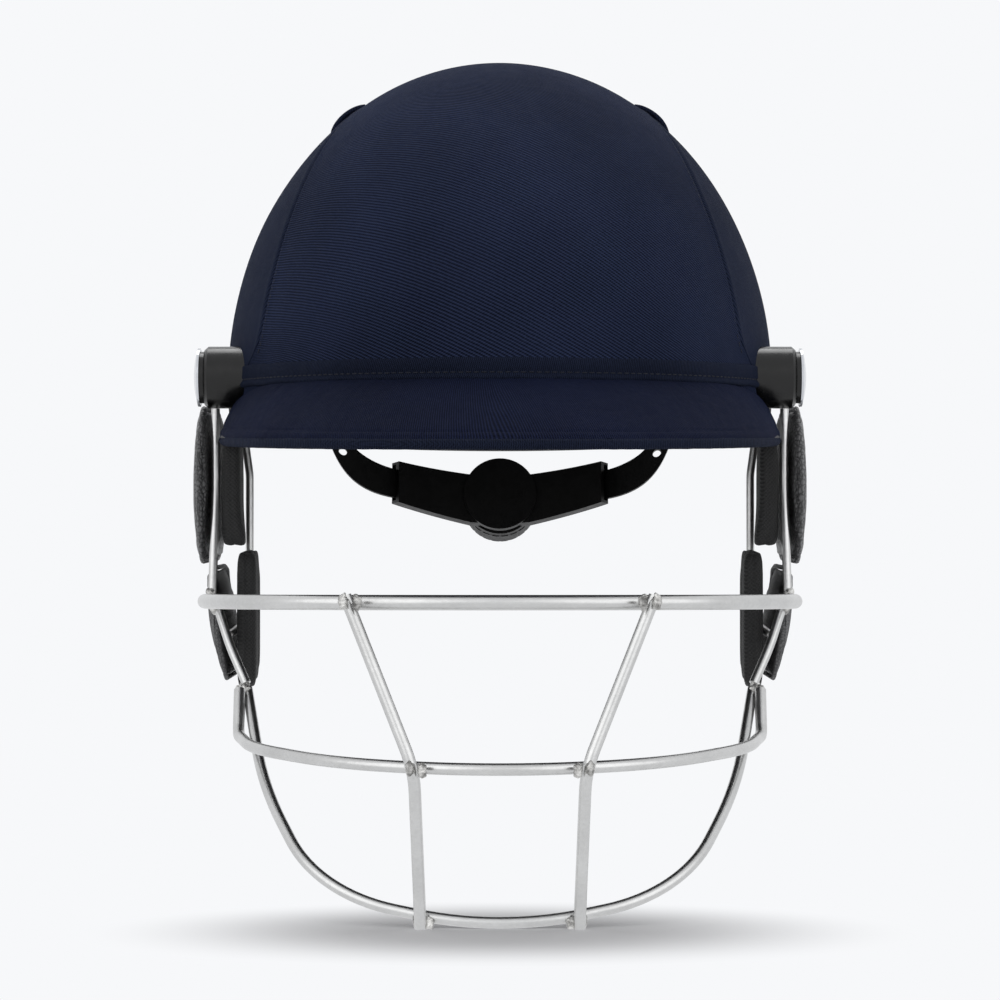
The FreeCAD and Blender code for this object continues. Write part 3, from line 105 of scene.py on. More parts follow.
class Wiring:
    """A node tree while it is being wired."""

    def __init__(self, tree: Tree) -> None:
        """Hold the tree and empty it."""
        self.tree = tree
        tree.nodes.clear()

    def join(self, node: Node, inputs: dict) -> None:
        """Link or set a node's inputs, by name or number."""
        for key, value in inputs.items():
            if isinstance(value, Socket):
                self.tree.links.new(value, node.inputs[key])
            else:
                node.inputs[key].default_value = value

    def feed(self, shader: Node, **sockets: object) -> None:
        """Link or set shader sockets; underscores in names stand for spaces."""
        self.join(shader, {name.replace("_", " "): value for name, value in sockets.items()})

    def add(self, kind: str, inputs: dict | None = None, **settings: object) -> Node:
        """Add one node.

        Args:
            kind: Blender's name of the node type.
            inputs: Values or sockets for its inputs, by name or number.
            settings: Properties of the node.

        Returns:
            The new node.
        """
        node = self.tree.nodes.new(kind)
        for key, value in settings.items():
            setattr(node, key, value)
        self.join(node, inputs or {})
        return node

    def math(self, operation: str, first: object, second: object = 0.0) -> Socket:
        """Add a math node and return its value."""
        return self.add("ShaderNodeMath", {0: first, 1: second}, operation=operation).outputs[0]

    def plus(self, first: object, second: object) -> Socket:
        """Add two values."""
        return self.math("ADD", first, second)

    def times(self, first: object, second: object) -> Socket:
        """Multiply two values."""
        return self.math("MULTIPLY", first, second)

    def weighted(self, *parts: tuple[Socket, float]) -> Socket:
        """Add up values, each times its weight."""
        total, *rest = [self.times(value, weight) for value, weight in parts]
        for term in rest:
            total = self.plus(total, term)
        return total

    def vector(self, operation: str, *terms: object, output: str = "Vector") -> Socket:
        """Add a vector math node and return its vector or its value."""
        node = self.add("ShaderNodeVectorMath", dict(enumerate(terms)), operation=operation)
        return node.outputs[output]

    def blend(self, factor: object, low: object, high: object) -> Socket:
        """Mix two colours by a factor and return the colour."""
        return self.add("ShaderNodeMix", {0: factor, 6: low, 7: high}, data_type="RGBA").outputs[2]

    def spread(
        self, value: object, low: float, high: float, out_low: float = 0.0, out_high: float = 1.0
    ) -> Socket:
        """Map a value from one range to another, held within it."""
        inputs = {0: value, 1: low, 2: high, 3: out_low, 4: out_high}
        return self.add("ShaderNodeMapRange", inputs, clamp=True).outputs[0]

    def noise(self, vector: object, scale: float, detail: float = 3.0, roughness: float = 0.55) -> Socket:
        """Add a noise texture and return its value."""
        inputs = {"Vector": vector, "Scale": scale, "Detail": detail, "Roughness": roughness}
        return self.add("ShaderNodeTexNoise", inputs).outputs["Fac"]

    def mapped(self, vector: object, **inputs: tuple) -> Socket:
        """Return coordinates turned or scaled by a mapping node."""
        return self.add("ShaderNodeMapping", {"Vector": vector, **inputs}).outputs[0]

    def axes(self, vector: object) -> Sequence[Socket]:
        """Return the three parts of a vector."""
        return self.add("ShaderNodeSeparateXYZ", {0: vector}).outputs

    def place(self) -> Socket:
        """Return the object coordinates."""
        return self.add("ShaderNodeTexCoord").outputs["Object"]

    def grain_uv(self) -> Socket:
        """Return the piece's own cloth coordinates, in metres."""
        return self.add("ShaderNodeUVMap", uv_map="cloth").outputs["UV"]

    def bump(self, height: object, distance: float, strength: float = 1.0, below: object = None) -> Socket:
        """Add a bump node, over another normal if there is one, and return the normal."""
        inputs = {"Height": height, "Distance": distance, "Strength": strength}
        if below is not None:
            inputs["Normal"] = below
        return self.add("ShaderNodeBump", inputs).outputs[0]

    def end(self, shader: Node, kind: str = "ShaderNodeOutputMaterial") -> None:
        """Lead a shader to the tree's output."""
        self.add(kind, {0: shader.outputs[0]})


class Effect:
    """A shader node group that several finishes share, built once."""

    built: dict[str, Tree] = {}

    def __init__(self, name: str, control: str, outputs: Sequence[str], wire: Callable) -> None:
        """Describe the group.

        Args:
            name: The group's name.
            control: Name of its number beside the coordinates, or nothing.
            outputs: Names of the values it gives.
            wire: Function that wires the group from its inputs to a dict of outputs.
        """
        self.name, self.control, self.outputs, self.wire = name, control, outputs, wire

    def tree(self) -> Tree:
        """Return the group's tree, building it the first time."""
        if self.name not in self.built:
            tree = bpy.data.node_groups.new(self.name, "ShaderNodeTree")
            tree.interface.new_socket("Vector", in_out="INPUT", socket_type="NodeSocketVector")
            if self.control:
                tree.interface.new_socket(self.control, in_out="INPUT", socket_type="NodeSocketFloat")
            for name in self.outputs:
                tree.interface.new_socket(name, in_out="OUTPUT", socket_type="NodeSocketFloat")
            w = Wiring(tree)
            w.add("NodeGroupOutput", self.wire(w, w.add("NodeGroupInput").outputs))
            self.built[self.name] = tree
        return self.built[self.name]

    def use(self, w: Wiring, vector: Socket, control: float = 0.0) -> dict[str, Socket]:
        """Place the group in a material and return its outputs."""
        inputs = {"Vector": vector, **({self.control: control} if self.control else {})}
        node = w.tree.nodes.new("ShaderNodeGroup")
        node.node_tree = self.tree()
        w.join(node, inputs)
        return node.outputs


def wire_twill(w: Wiring, source: dict) -> dict[str, Socket]:
    """Diagonal wales crossed by fine yarns, with uneven thread thickness."""
    place = source["Vector"]
    axes = w.axes(place)
    turns = w.math("DIVIDE", 2 * math.pi, source["Pitch"])
    wander = w.times(w.noise(place, 160.0, 2.0), 0.0006)
    along = w.times(w.plus(axes[0], wander), turns)
    across = w.times(axes[1], turns)
    wale = w.math("SINE", w.plus(along, across))
    yarn = w.math("SINE", w.times(w.math("SUBTRACT", across, w.times(along, 0.35)), 2.0))
    height = w.plus(w.weighted((wale, 0.34), (yarn, 0.16)), 0.5)
    return {"Height": height, "Slub": w.noise(place, 900.0, 2.0, 0.6)}


def wire_pebble(w: Wiring, source: dict) -> dict[str, Socket]:
    """Rounded leather pebbles with creases between them; where their height sets colour, the dark creases are
    painted shade.
    """
    place, drift = source["Vector"], (0.0012, 0.0012, 0.0012)
    wavy = w.add("ShaderNodeTexNoise", {"Vector": place, "Scale": 220.0, "Detail": 2.0})
    moved = w.vector("MULTIPLY_ADD", wavy.outputs["Color"], drift, place)
    cells = {"Vector": moved, "Scale": source["Scale"]}
    edge = w.add("ShaderNodeTexVoronoi", cells, feature="DISTANCE_TO_EDGE").outputs["Distance"]
    dome = w.math("POWER", w.spread(edge, 0.0, 0.32), 0.6)
    return {"Height": dome, "Crease": w.math("SUBTRACT", 1.0, w.spread(edge, 0.0, 0.09))}


def wire_mottle(w: Wiring, source: dict) -> dict[str, Socket]:
    """Slow unevenness of tone and finer specks."""
    place = source["Vector"]
    speck = w.noise(place, 1900.0, 2.0, 0.7)
    return {
        "Tone": w.spread(w.noise(place, 14.0, 3.0), 0.3, 0.7),
        "Fine": w.noise(place, 240.0, 4.0, 0.65),
        "Speck": w.spread(speck, 0.56, 0.72),
    }


def wire_knit(w: Wiring, source: dict) -> dict[str, Socket]:
    """Small loops of a knitted lining in staggered rows."""
    axes = w.axes(source["Vector"])
    turns = w.math("DIVIDE", 2 * math.pi, source["Pitch"])
    one = w.math("SINE", w.times(w.plus(axes[1], axes[0]), turns))
    two = w.math("SINE", w.times(axes[2], turns))
    return {"Height": w.plus(w.times(w.times(one, two), 0.5), 0.5)}


TWILL = Effect("twill", "Pitch", ("Height", "Slub"), wire_twill)
PEBBLE = Effect("pebble grain", "Scale", ("Height", "Crease"), wire_pebble)
MOTTLE = Effect("mottle", "", ("Tone", "Fine", "Speck"), wire_mottle)
KNIT = Effect("knit", "Pitch", ("Height",), wire_knit)


@dataclass(frozen=True)
class Finish:
    """One surface finish; subclasses wire its colour, roughness and relief."""

    name: str
    low: Colour
    high: Colour
    roughness: float = 0.5

    def wire(self, w: Wiring, shader: Node) -> None:
        """Wire the finish into the shader's sockets."""
        raise NotImplementedError

    def tone(self, w: Wiring, share: object) -> Socket:
        """Return the colour at a share of the way between the two tones."""
        return w.blend(share, linear(self.low), linear(self.high))

    def rough(self, w: Wiring, value: object, span: tuple[float, float], less: float, more: float) -> Socket:
        """Return a roughness round the finish's own that follows a value over a span."""
        return w.spread(value, *span, self.roughness + less, self.roughness + more)

    def material(self) -> bpy.types.Material:
        """Return the finish's material, building it the first time."""
        found = bpy.data.materials.get(self.name)
        if found is not None:
            return found
        made = bpy.data.materials.new(self.name)
        made.use_nodes = True
        w = Wiring(made.node_tree)
        shader = w.add("ShaderNodeBsdfPrincipled", {"Roughness": self.roughness})
        w.end(shader)
        self.wire(w, shader)
        return made


@dataclass(frozen=True)
class TwillCloth(Finish):
    """Tightly woven navy twill that follows each panel's own grain."""

    slant: float = 35.0
    pitch: float = 0.00085
    by_uv: bool = True

    WEAVE, SLUB, FADING = 0.62, 0.3, 0.16
    SHEEN_TINT = (92, 116, 160)

    def wire(self, w: Wiring, shader: Node) -> None:
        """Wire wales, yarn slubs and slow fading."""
        base = w.grain_uv() if self.by_uv else w.place()
        turned = w.mapped(base, Rotation=(0.0, 0.0, math.radians(self.slant)))
        twill = TWILL.use(w, turned, self.pitch)
        mottle = MOTTLE.use(w, w.place())
        lift = w.weighted(
            (twill["Height"], self.WEAVE), (twill["Slub"], self.SLUB), (mottle["Tone"], self.FADING)
        )
        w.feed(
            shader,
            Base_Color=self.tone(w, w.spread(lift, 0.27, 0.88)),
            Roughness=self.rough(w, mottle["Fine"], (0.3, 0.7), -0.06, 0.06),
            Normal=w.bump(mottle["Fine"], 0.0004, 0.5, w.bump(twill["Height"], 0.0003)),
            Sheen_Weight=0.02,
            Sheen_Roughness=0.35,
            Sheen_Tint=linear(self.SHEEN_TINT),
            Specular_IOR_Level=0.05,
        )


@dataclass(frozen=True)
class Thread(Finish):
    """Twisted sewing thread."""

    def wire(self, w: Wiring, shader: Node) -> None:
        """Wire the twist as fine slanted stripes."""
        inputs = {"Vector": w.place(), "Scale": 1400.0, "Distortion": 1.5}
        stripes = w.add("ShaderNodeTexWave", inputs, bands_direction="DIAGONAL").outputs["Fac"]
        w.feed(shader, Base_Color=self.tone(w, stripes), Normal=w.bump(stripes, 0.00012), Sheen_Weight=0.04)


@dataclass(frozen=True)
class Leather(Finish):
    """Pebble-grained coated leather with a satin face and painted highlights on its pebble tops."""

    scale: float = 520.0
    relief: float = 0.0004

    def wire(self, w: Wiring, shader: Node) -> None:
        """Wire pebbles, creases, painted highlights on the pebble tops and painted shade in the creases."""
        place = w.place()
        grain = PEBBLE.use(w, place, self.scale)
        mottle = MOTTLE.use(w, place)
        # Colour follows the pebble height: painted highlights on the tops and painted shade in the creases,
        # varied by a random tone.
        painted_pebble_highlight = w.times(grain["Height"], w.spread(mottle["Tone"], 0.0, 1.0, 0.35, 1.0))
        creased = w.plus(w.times(grain["Crease"], 0.22), self.roughness)
        w.feed(
            shader,
            Base_Color=self.tone(w, painted_pebble_highlight),
            Roughness=w.plus(creased, w.times(mottle["Fine"], 0.08)),
            Normal=w.bump(mottle["Fine"], 0.0003, 0.4, w.bump(grain["Height"], self.relief)),
            Specular_IOR_Level=0.5,
        )


@dataclass(frozen=True)
class KnitPad(Finish):
    """Knitted fabric over foam."""

    pitch: float = 0.0015

    def wire(self, w: Wiring, shader: Node) -> None:
        """Wire loops, fluff and uneven tone."""
        place = w.place()
        loops = KNIT.use(w, place, self.pitch)["Height"]
        fluff = MOTTLE.use(w, place)["Fine"]
        shade = w.weighted((loops, 0.6), (fluff, 0.4))
        w.feed(
            shader,
            Base_Color=self.tone(w, shade),
            Roughness=self.rough(w, shade, (0.0, 1.0), 0.05, -0.05),
            Normal=w.bump(fluff, 0.0006, 0.6, w.bump(loops, 0.00025)),
            Sheen_Weight=0.06,
            Sheen_Roughness=0.4,
        )


@dataclass(frozen=True)
class DrawnSteel(Finish):
    """Satin drawn wire with faint draw marks, handling marks and pits."""

    def wire(self, w: Wiring, shader: Node) -> None:
        """Wire streaks, cloudy marks and pits."""
        place, span = w.place(), (0.25, 0.75)
        pits = MOTTLE.use(w, place)["Speck"]
        streak = w.noise(w.mapped(place, Scale=(0.5, 1.0, 1.0)), 900.0, 4.0, 0.7)
        shade = w.weighted((streak, 0.45), (w.noise(place, 55.0, 4.0, 0.6), 0.55))
        w.feed(
            shader,
            Base_Color=self.tone(w, w.spread(shade, *span)),
            Metallic=1.0,
            Roughness=self.rough(w, shade, span, 0.06, -0.04),
            Normal=w.bump(pits, 0.000008, 0.5, w.bump(streak, 0.000004)),
        )


@dataclass(frozen=True)
class WeldSteel(Finish):
    """Weld metal: rippled, grainy and duller than the wire."""

    def wire(self, w: Wiring, shader: Node) -> None:
        """Wire scale, soot and grain."""
        place = w.place()
        soot = w.spread(w.noise(place, 260.0, 3.0), 0.42, 0.66)
        w.feed(
            shader,
            Base_Color=w.blend(soot, linear(self.high), linear(self.low)),
            Metallic=1.0,
            Roughness=self.rough(w, soot, (0.0, 1.0), 0.0, 0.22),
            Normal=w.bump(w.noise(place, 1400.0, 5.0, 0.7), 0.0003),
        )


@dataclass(frozen=True)
class Chrome(Finish):
    """Bright plated metal with light haze."""

    def wire(self, w: Wiring, shader: Node) -> None:
        """Wire haze and hairline marks."""
        place = w.place()
        haze = w.noise(place, 120.0, 4.0, 0.6)
        lines = w.noise(w.mapped(place, Scale=(1.0, 0.06, 1.0)), 2600.0, 2.0)
        w.feed(
            shader,
            Base_Color=self.tone(w, haze),
            Metallic=1.0,
            Roughness=self.rough(w, haze, (0.35, 0.7), 0.0, 0.1),
            Normal=w.bump(lines, 0.00003),
        )


@dataclass(frozen=True)
class MouldedPlastic(Finish):
    """Moulded plastic with a spark-eroded texture and light rubbing."""

    texture: float = 0.00007
    scale: float = 1300.0
    shine: float = 0.22

    def wire(self, w: Wiring, shader: Node) -> None:
        """Wire fine texture, tone and shine."""
        place = w.place()
        mottle = MOTTLE.use(w, place)
        texture = w.noise(place, self.scale, 3.0, 0.6)
        w.feed(
            shader,
            Base_Color=self.tone(w, w.weighted((mottle["Tone"], 0.5), (texture, 0.5))),
            Roughness=self.rough(w, mottle["Fine"], (0.3, 0.7), -0.05, 0.08),
            Normal=w.bump(texture, self.texture),
            Specular_IOR_Level=self.shine,
        )


@dataclass(frozen=True)
class CutFoam(Finish):
    """Closed-cell foam with small open cells on its face."""

    def wire(self, w: Wiring, shader: Node) -> None:
        """Wire cells and dust."""
        place = w.place()
        cells = w.add("ShaderNodeTexVoronoi", {"Vector": place, "Scale": 700.0}).outputs["Distance"]
        shade = w.weighted((cells, 0.7), (MOTTLE.use(w, place)["Tone"], 0.3))
        w.feed(shader, Base_Color=self.tone(w, shade), Normal=w.bump(cells, 0.0003))


NAVY_FRONT = TwillCloth("navy twill front", (6, 10, 22), (45, 54, 82), 0.82, slant=-18.0, pitch=0.0017)
NAVY_SIDE = TwillCloth("navy twill side", (14, 19, 34), (42, 50, 74), 0.8, slant=-20.0, pitch=0.0009)
NAVY_PEAK = TwillCloth("navy twill peak", (4, 7, 20), (29, 36, 64), 0.82, slant=52.0, pitch=0.0011)
NAVY_EDGE = TwillCloth("navy twill edge", (9, 13, 25), (36, 43, 64), 0.8, slant=60.0, pitch=0.0011)
NAVY_HOOD = TwillCloth("navy twill hood", (10, 14, 27), (40, 47, 70), 0.8, slant=40.0, by_uv=False)
NAVY_EDGE_CORD = TwillCloth("navy twill cord", (10, 14, 26), (38, 45, 66), 0.8, slant=45.0, by_uv=False)
NAVY_THREAD = Thread("navy thread", (6, 9, 19), (22, 28, 48), 0.9)
BLACK_THREAD = Thread("black thread", (20, 20, 21), (58, 59, 62), 0.6)
# The light tones of the two grained finishes are painted highlights on their pebble tops.
EAR_LEATHER = Leather("grained black leather", (20, 20, 21), (112, 112, 114), 0.34)
FLAP_CLOTH = Leather("dark coated fabric", (40, 40, 41), (104, 104, 106), 0.5, scale=900.0, relief=0.0002)
PAD_KNIT = KnitPad("black knitted pad", (9, 9, 9), (32, 32, 33), 0.8)
LINING_KNIT = KnitPad("black lining", (12, 12, 13), (40, 41, 44), 0.85, pitch=0.0022)
WIRE_STEEL = DrawnSteel("satin steel wire", (186, 186, 185), (214, 214, 213), 0.3)
WELD_STEEL = WeldSteel("weld steel", (112, 111, 109), (216, 215, 212), 0.3)
CAP_CHROME = Chrome("bright cap chrome", (178, 180, 184), (226, 228, 232), 0.1)
NUT_STEEL = DrawnSteel("zinc nut steel", (128, 128, 124), (168, 168, 162), 0.34)
BOSS_PLASTIC = MouldedPlastic("satin boss plastic", (5, 5, 5), (15, 15, 15), 0.2, texture=0.00001, shine=0.4)
BLACK_PLASTIC = MouldedPlastic("black moulded plastic", (7, 7, 7), (20, 20, 20), 0.46)
SHELL_PLASTIC = MouldedPlastic("shell plastic", (13, 13, 14), (30, 30, 32), 0.42)
TRIM_RUBBER = MouldedPlastic("trim rubber", (12, 12, 13), (30, 30, 31), 0.62, texture=0.00012, scale=900.0)
LINER_FOAM = CutFoam("liner foam", (16, 16, 17), (40, 40, 42), 0.9)


# ---- Mesh helpers ----


class Bench:
    """Blender operations on one piece at a time."""

    @staticmethod
    def clear() -> None:
        """Deselect everything."""
        for other in bpy.context.view_layer.objects:
            other.select_set(False)

    @staticmethod
    def pick(piece: Piece) -> None:
        """Make one piece the only selected and the active one."""
        Bench.clear()
        piece.select_set(True)
        bpy.context.view_layer.objects.active = piece

    @staticmethod
    def apply(piece: Piece, kind: str, **settings: object) -> None:
        """Add a modifier and apply it.

        Args:
            piece: The piece it shapes.
            kind: Blender's modifier type.
            settings: The modifier's properties.
        """
        Bench.pick(piece)
        modifier = piece.modifiers.new(kind.lower(), kind)
        for key, value in settings.items():
            setattr(modifier, key, value)
        bpy.ops.object.modifier_apply(modifier=modifier.name)

    @staticmethod
    def in_edit(piece: Piece, *steps: Callable[[], object]) -> None:
        """Run edit-mode steps with the whole mesh selected first."""
        Bench.pick(piece)
        bpy.ops.object.mode_set(mode="EDIT")
        bpy.ops.mesh.select_all(action="SELECT")
        for step in steps:
            step()
        bpy.ops.object.mode_set(mode="OBJECT")

    @staticmethod
    def outward(piece: Piece) -> None:
        """Merge doubled points and turn the faces outwards."""
        Bench.in_edit(
            piece,
            lambda: bpy.ops.mesh.remove_doubles(threshold=0.00001),
            lambda: bpy.ops.mesh.normals_make_consistent(inside=False),
        )

    @staticmethod
    def smooth(piece: Piece, angle: float) -> None:
        """Shade smoothly below an angle between faces."""
        Bench.pick(piece)
        bpy.ops.object.shade_smooth_by_angle(angle=math.radians(angle))

    @staticmethod
    def smooth_all(piece: Piece) -> None:
        """Shade every face smoothly."""
        for polygon in piece.data.polygons:
            polygon.use_smooth = True

    @staticmethod
    def place_new(name: str, data: bpy.types.ID) -> Piece:
        """Add an object with its data to the scene."""
        made = bpy.data.objects.new(name, data)
        bpy.context.scene.collection.objects.link(made)
        return made

    @staticmethod
    def copy_node(node: str, name: str) -> Piece:
        """Copy a CAD node's mesh as a closed mesh of a new piece.

        Args:
            node: The node to copy.
            name: The new piece's name.

        Returns:
            The new piece, with no material.
        """
        mesh = frame["nodes"][node].data.copy()
        mesh.materials.clear()
        piece = Bench.place_new(name, mesh)
        Bench.outward(piece)
        return piece

    @staticmethod
    def mirror_copy(piece: Piece) -> Piece:
        """Return a copy of a left piece on the right side of the helmet."""
        twin = Bench.place_new(piece.name.replace("left", "right"), piece.data.copy())
        twin.data.transform(Matrix.Diagonal((-1.0, 1.0, 1.0, 1.0)))
        twin.data.flip_normals()
        return twin


def finish_piece(
    piece: Piece, finish: Finish, stands_for: str = ""
) -> Piece:
    """Dress a new piece and let it ride on the helmet.

    Args:
        piece: The finished piece.
        finish: Its surface finish.
        stands_for: The CAD node that it replaces, if any.

    Returns:
        The same piece.
    """
    piece.data.materials.clear()
    piece.data.materials.append(finish.material())
    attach(piece, "helmet")
    if stands_for:
        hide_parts(stands_for)
    LOG.info("made %s, %d faces", piece.name, len(piece.data.polygons))
    return piece


def dress(finish: Finish, *nodes: str) -> None:
    """Give CAD nodes that stay their finish."""
    for node in nodes:
        piece = frame["nodes"][node]
        for slot in piece.material_slots:
            slot.material = finish.material()
        if not piece.material_slots:
            piece.data.materials.append(finish.material())


def both(*names: str) -> list[str]:
    """Return the names of paired nodes, for the left side and the right."""
    return [f"{side.label}_{name}" for side in Side for name in names]


def finish_pair(parts: Sequence[tuple[Piece, Finish, str]]) -> None:
    """Dress left pieces, and then their right-hand copies.

    Args:
        parts: Each left piece with its finish and the left CAD node it replaces, if any.
    """
    for piece, finish, node in parts:
        finish_piece(piece, finish, node)
    for piece, finish, node in parts:
        twin = Bench.mirror_copy(piece)
        finish_piece(twin, finish, node.replace("left", "right"))


def grid_piece(name: str, rows: int, columns: int) -> Piece:
    """Add a flat grid to be laid over a form.

    Args:
        name: The piece's name.
        rows: Number of quads down.
        columns: Number of quads across.

    Returns:
        The grid, with its points in row order.
    """
    Bench.clear()
    bpy.ops.mesh.primitive_grid_add(x_subdivisions=columns, y_subdivisions=rows, size=1.0)
    piece = bpy.context.object
    piece.name = name
    return piece


def lay_grid(
    piece: Piece, columns: int, at: Callable[[int, int], tuple[Vector, tuple[float, float]]]
) -> None:
    """Move a grid's points onto a form and store the cloth's own coordinates.

    Args:
        piece: The grid.
        columns: Quads across.
        at: Gives the place and the cloth coordinates for a row and a column.
    """
    mesh = piece.data
    coordinates = []
    for index, vertex in enumerate(mesh.vertices):
        row, column = divmod(index, columns + 1)
        vertex.co, cloth = at(row, column)
        coordinates.append(cloth)
    for layer in list(mesh.uv_layers):
        mesh.uv_layers.remove(layer)
    layer = mesh.uv_layers.new(name="cloth")
    for loop in mesh.loops:
        layer.data[loop.index].uv = coordinates[loop.vertex_index]


def bell(distance: float, width: float) -> float:
    """Return a share that is 1 at no distance and fades out beyond the width."""
    return math.exp(-((distance / width) ** 2))


def resample(path: Path, count: int) -> Path:
    """Return points at equal steps along a polyline."""
    lengths = [0.0]
    for a, b in zip(path, path[1:]):
        lengths.append(lengths[-1] + (b - a).length)
    result, index = [], 0
    for step in range(count):
        target = lengths[-1] * step / (count - 1)
        while index < len(path) - 2 and lengths[index + 1] < target:
            index += 1
        span = max(lengths[index + 1] - lengths[index], TINY)
        result.append(path[index].lerp(path[index + 1], min(1.0, (target - lengths[index]) / span)))
    return result


def flowing(path: Path, steps: int) -> Path:
    """Return a smooth line through points, with a number of steps to each span."""
    ends = [path[0] * 2 - path[1], *path, path[-1] * 2 - path[-2]]
    result = []
    for a, b, c, d in zip(ends, ends[1:], ends[2:], ends[3:]):
        for step in range(steps):
            t = step / steps
            square = (2 * a - 5 * b + 4 * c - d) * t * t
            cube = (3 * b - a - 3 * c + d) * t**3
            result.append(0.5 * (2 * b + (c - a) * t + square + cube))
    return result + [path[-1]]


@dataclass(frozen=True)
class Stitch:
    """Size of one stitch: the step to the next one, its length and the thread's half thickness."""

    pitch: float
    length: float
    radius: float

    SWAY, TURN, FLATNESS = 0.12, 2.4, 0.75


SEAM_STITCH = Stitch(0.0029, 0.0021, 0.00024)
HEM_STITCH = Stitch(0.0027, 0.0021, 0.00026)
VENT_STITCH = Stitch(0.0029, 0.002, 0.00022)
FLAP_STITCH = Stitch(0.0032, 0.0024, 0.0003)


def sew(name: str, path: Path, outward: Callable[[Vector], Vector], stitch: Stitch) -> Piece:
    """Lay a row of stitches along a path.

    Args:
        name: The piece's name.
        path: The line of the seam.
        outward: Gives the outward direction at a point.
        stitch: Size of the stitches.

    Returns:
        One piece with all the stitches.
    """
    Bench.clear()
    bpy.ops.mesh.primitive_uv_sphere_add(segments=6, ring_count=4, radius=1.0)
    pattern = bpy.context.object
    points = [v.co.copy() for v in pattern.data.vertices]
    faces = [tuple(p.vertices) for p in pattern.data.polygons]
    bpy.data.objects.remove(pattern)
    total = sum((b - a).length for a, b in zip(path, path[1:]))
    spots = resample(path, max(3, int(total / stitch.pitch)))
    vertices, polygons = [], []
    for index, (here, ahead) in enumerate(zip(spots, spots[1:])):
        along = (ahead - here).normalized()
        across = outward(here).cross(along).normalized()
        up = along.cross(across) * stitch.radius * stitch.FLATNESS
        start = len(vertices)
        sway = stitch.SWAY * stitch.radius * math.sin(index * stitch.TURN)
        for p in points:
            sideways = across * (p.x * stitch.radius + sway)
            vertices.append(here + along * (p.z * stitch.length / 2) + sideways + up * p.y)
        polygons.extend(tuple(start + i for i in face) for face in faces)
    mesh = bpy.data.meshes.new(name)
    mesh.from_pydata(vertices, [], polygons)
    piece = Bench.place_new(name, mesh)
    Bench.outward(piece)
    Bench.smooth(piece, 60.0)
    return piece


def tube(name: str, path: Path, radius: float, sides: int, wave: float) -> Piece:
    """Sweep a round cord along a path as a mesh.

    Args:
        name: The piece's name.
        path: Points of its middle line.
        radius: Its radius.
        sides: Faces round it.
        wave: Uneven thickness as a share of the radius.

    Returns:
        The closed cord.
    """
    curve = bpy.data.curves.new(name, "CURVE")
    curve.dimensions = "3D"
    spline = curve.splines.new("POLY")
    spline.points.add(len(path) - 1)
    for index, (point, spot) in enumerate(zip(spline.points, path)):
        point.co = (*spot, 1.0)
        point.radius = 1.0 + wave * noise.noise(spot * 260.0 + Vector((index * 0.1, 0, 0)))
    curve.bevel_depth = radius
    curve.bevel_resolution = max(1, sides // 4)
    curve.use_fill_caps = True
    Bench.pick(Bench.place_new(name, curve))
    bpy.ops.object.convert(target="MESH")
    piece = bpy.context.object
    Bench.outward(piece)
    Bench.smooth(piece, 60.0)
    return piece


# ---- Cover ----


@dataclass(frozen=True)
class Dome:
    """The ellipsoid that the shell and its cover follow."""

    half_width: float = 0.104
    half_length: float = 0.131
    half_height: float = 0.123
    centre_height: float = 0.028
    trim_height: float = 0.01905
    trim_fall: float = 0.0542

    def to_ball(self, place: Vector) -> Vector:
        """Return the direction of a place in the dome's unit ball."""
        rise = (place.z - self.centre_height) / self.half_height
        return Vector((place.x / self.half_width, place.y / self.half_length, rise)).normalized()

    def on(self, ball: Vector, lift: float = 0.0) -> Vector:
        """Return the surface point for a direction of the unit ball, lifted along its normal."""
        ball = ball.normalized()
        place = Vector((ball.x * self.half_width, ball.y * self.half_length, ball.z * self.half_height))
        place.z += self.centre_height
        return place + self.normal(place) * lift

    def normal(self, place: Vector) -> Vector:
        """Return the outward direction at a place on or near the surface."""
        rise = (place.z - self.centre_height) / self.half_height**2
        return Vector((place.x / self.half_width**2, place.y / self.half_length**2, rise)).normalized()

    def above(self, x: float, y: float) -> Vector:
        """Return the upper surface point over a place in plan."""
        rest = 1.0 - (x / self.half_width) ** 2 - (y / self.half_length) ** 2
        return Vector((x, y, self.centre_height + self.half_height * math.sqrt(max(rest, 0.0))))

    def edge_height(self, y: float) -> float:
        """Return the height of the cover's lower edge at a depth."""
        return self.trim_height - self.trim_fall * y


DOME = Dome()


def ball_arc(start: Vector, middle: Vector, end: Vector, share: float) -> Vector:
    """Return a point on the ball's circle through three directions."""
    a, b = middle - start, end - start
    normal = a.cross(b)
    if normal.length < TINY:
        return start.lerp(end, share)
    across = normal.cross(a) * b.length_squared + b.cross(normal) * a.length_squared
    centre = start + across / (2.0 * normal.length_squared)
    first = start - centre
    side = normal.normalized().cross(first)
    swept = math.atan2((end - centre).dot(side), (end - centre).dot(first))
    swept = swept if swept > 0 else swept + 2 * math.pi
    return centre + first * math.cos(swept * share) + side * math.sin(swept * share)


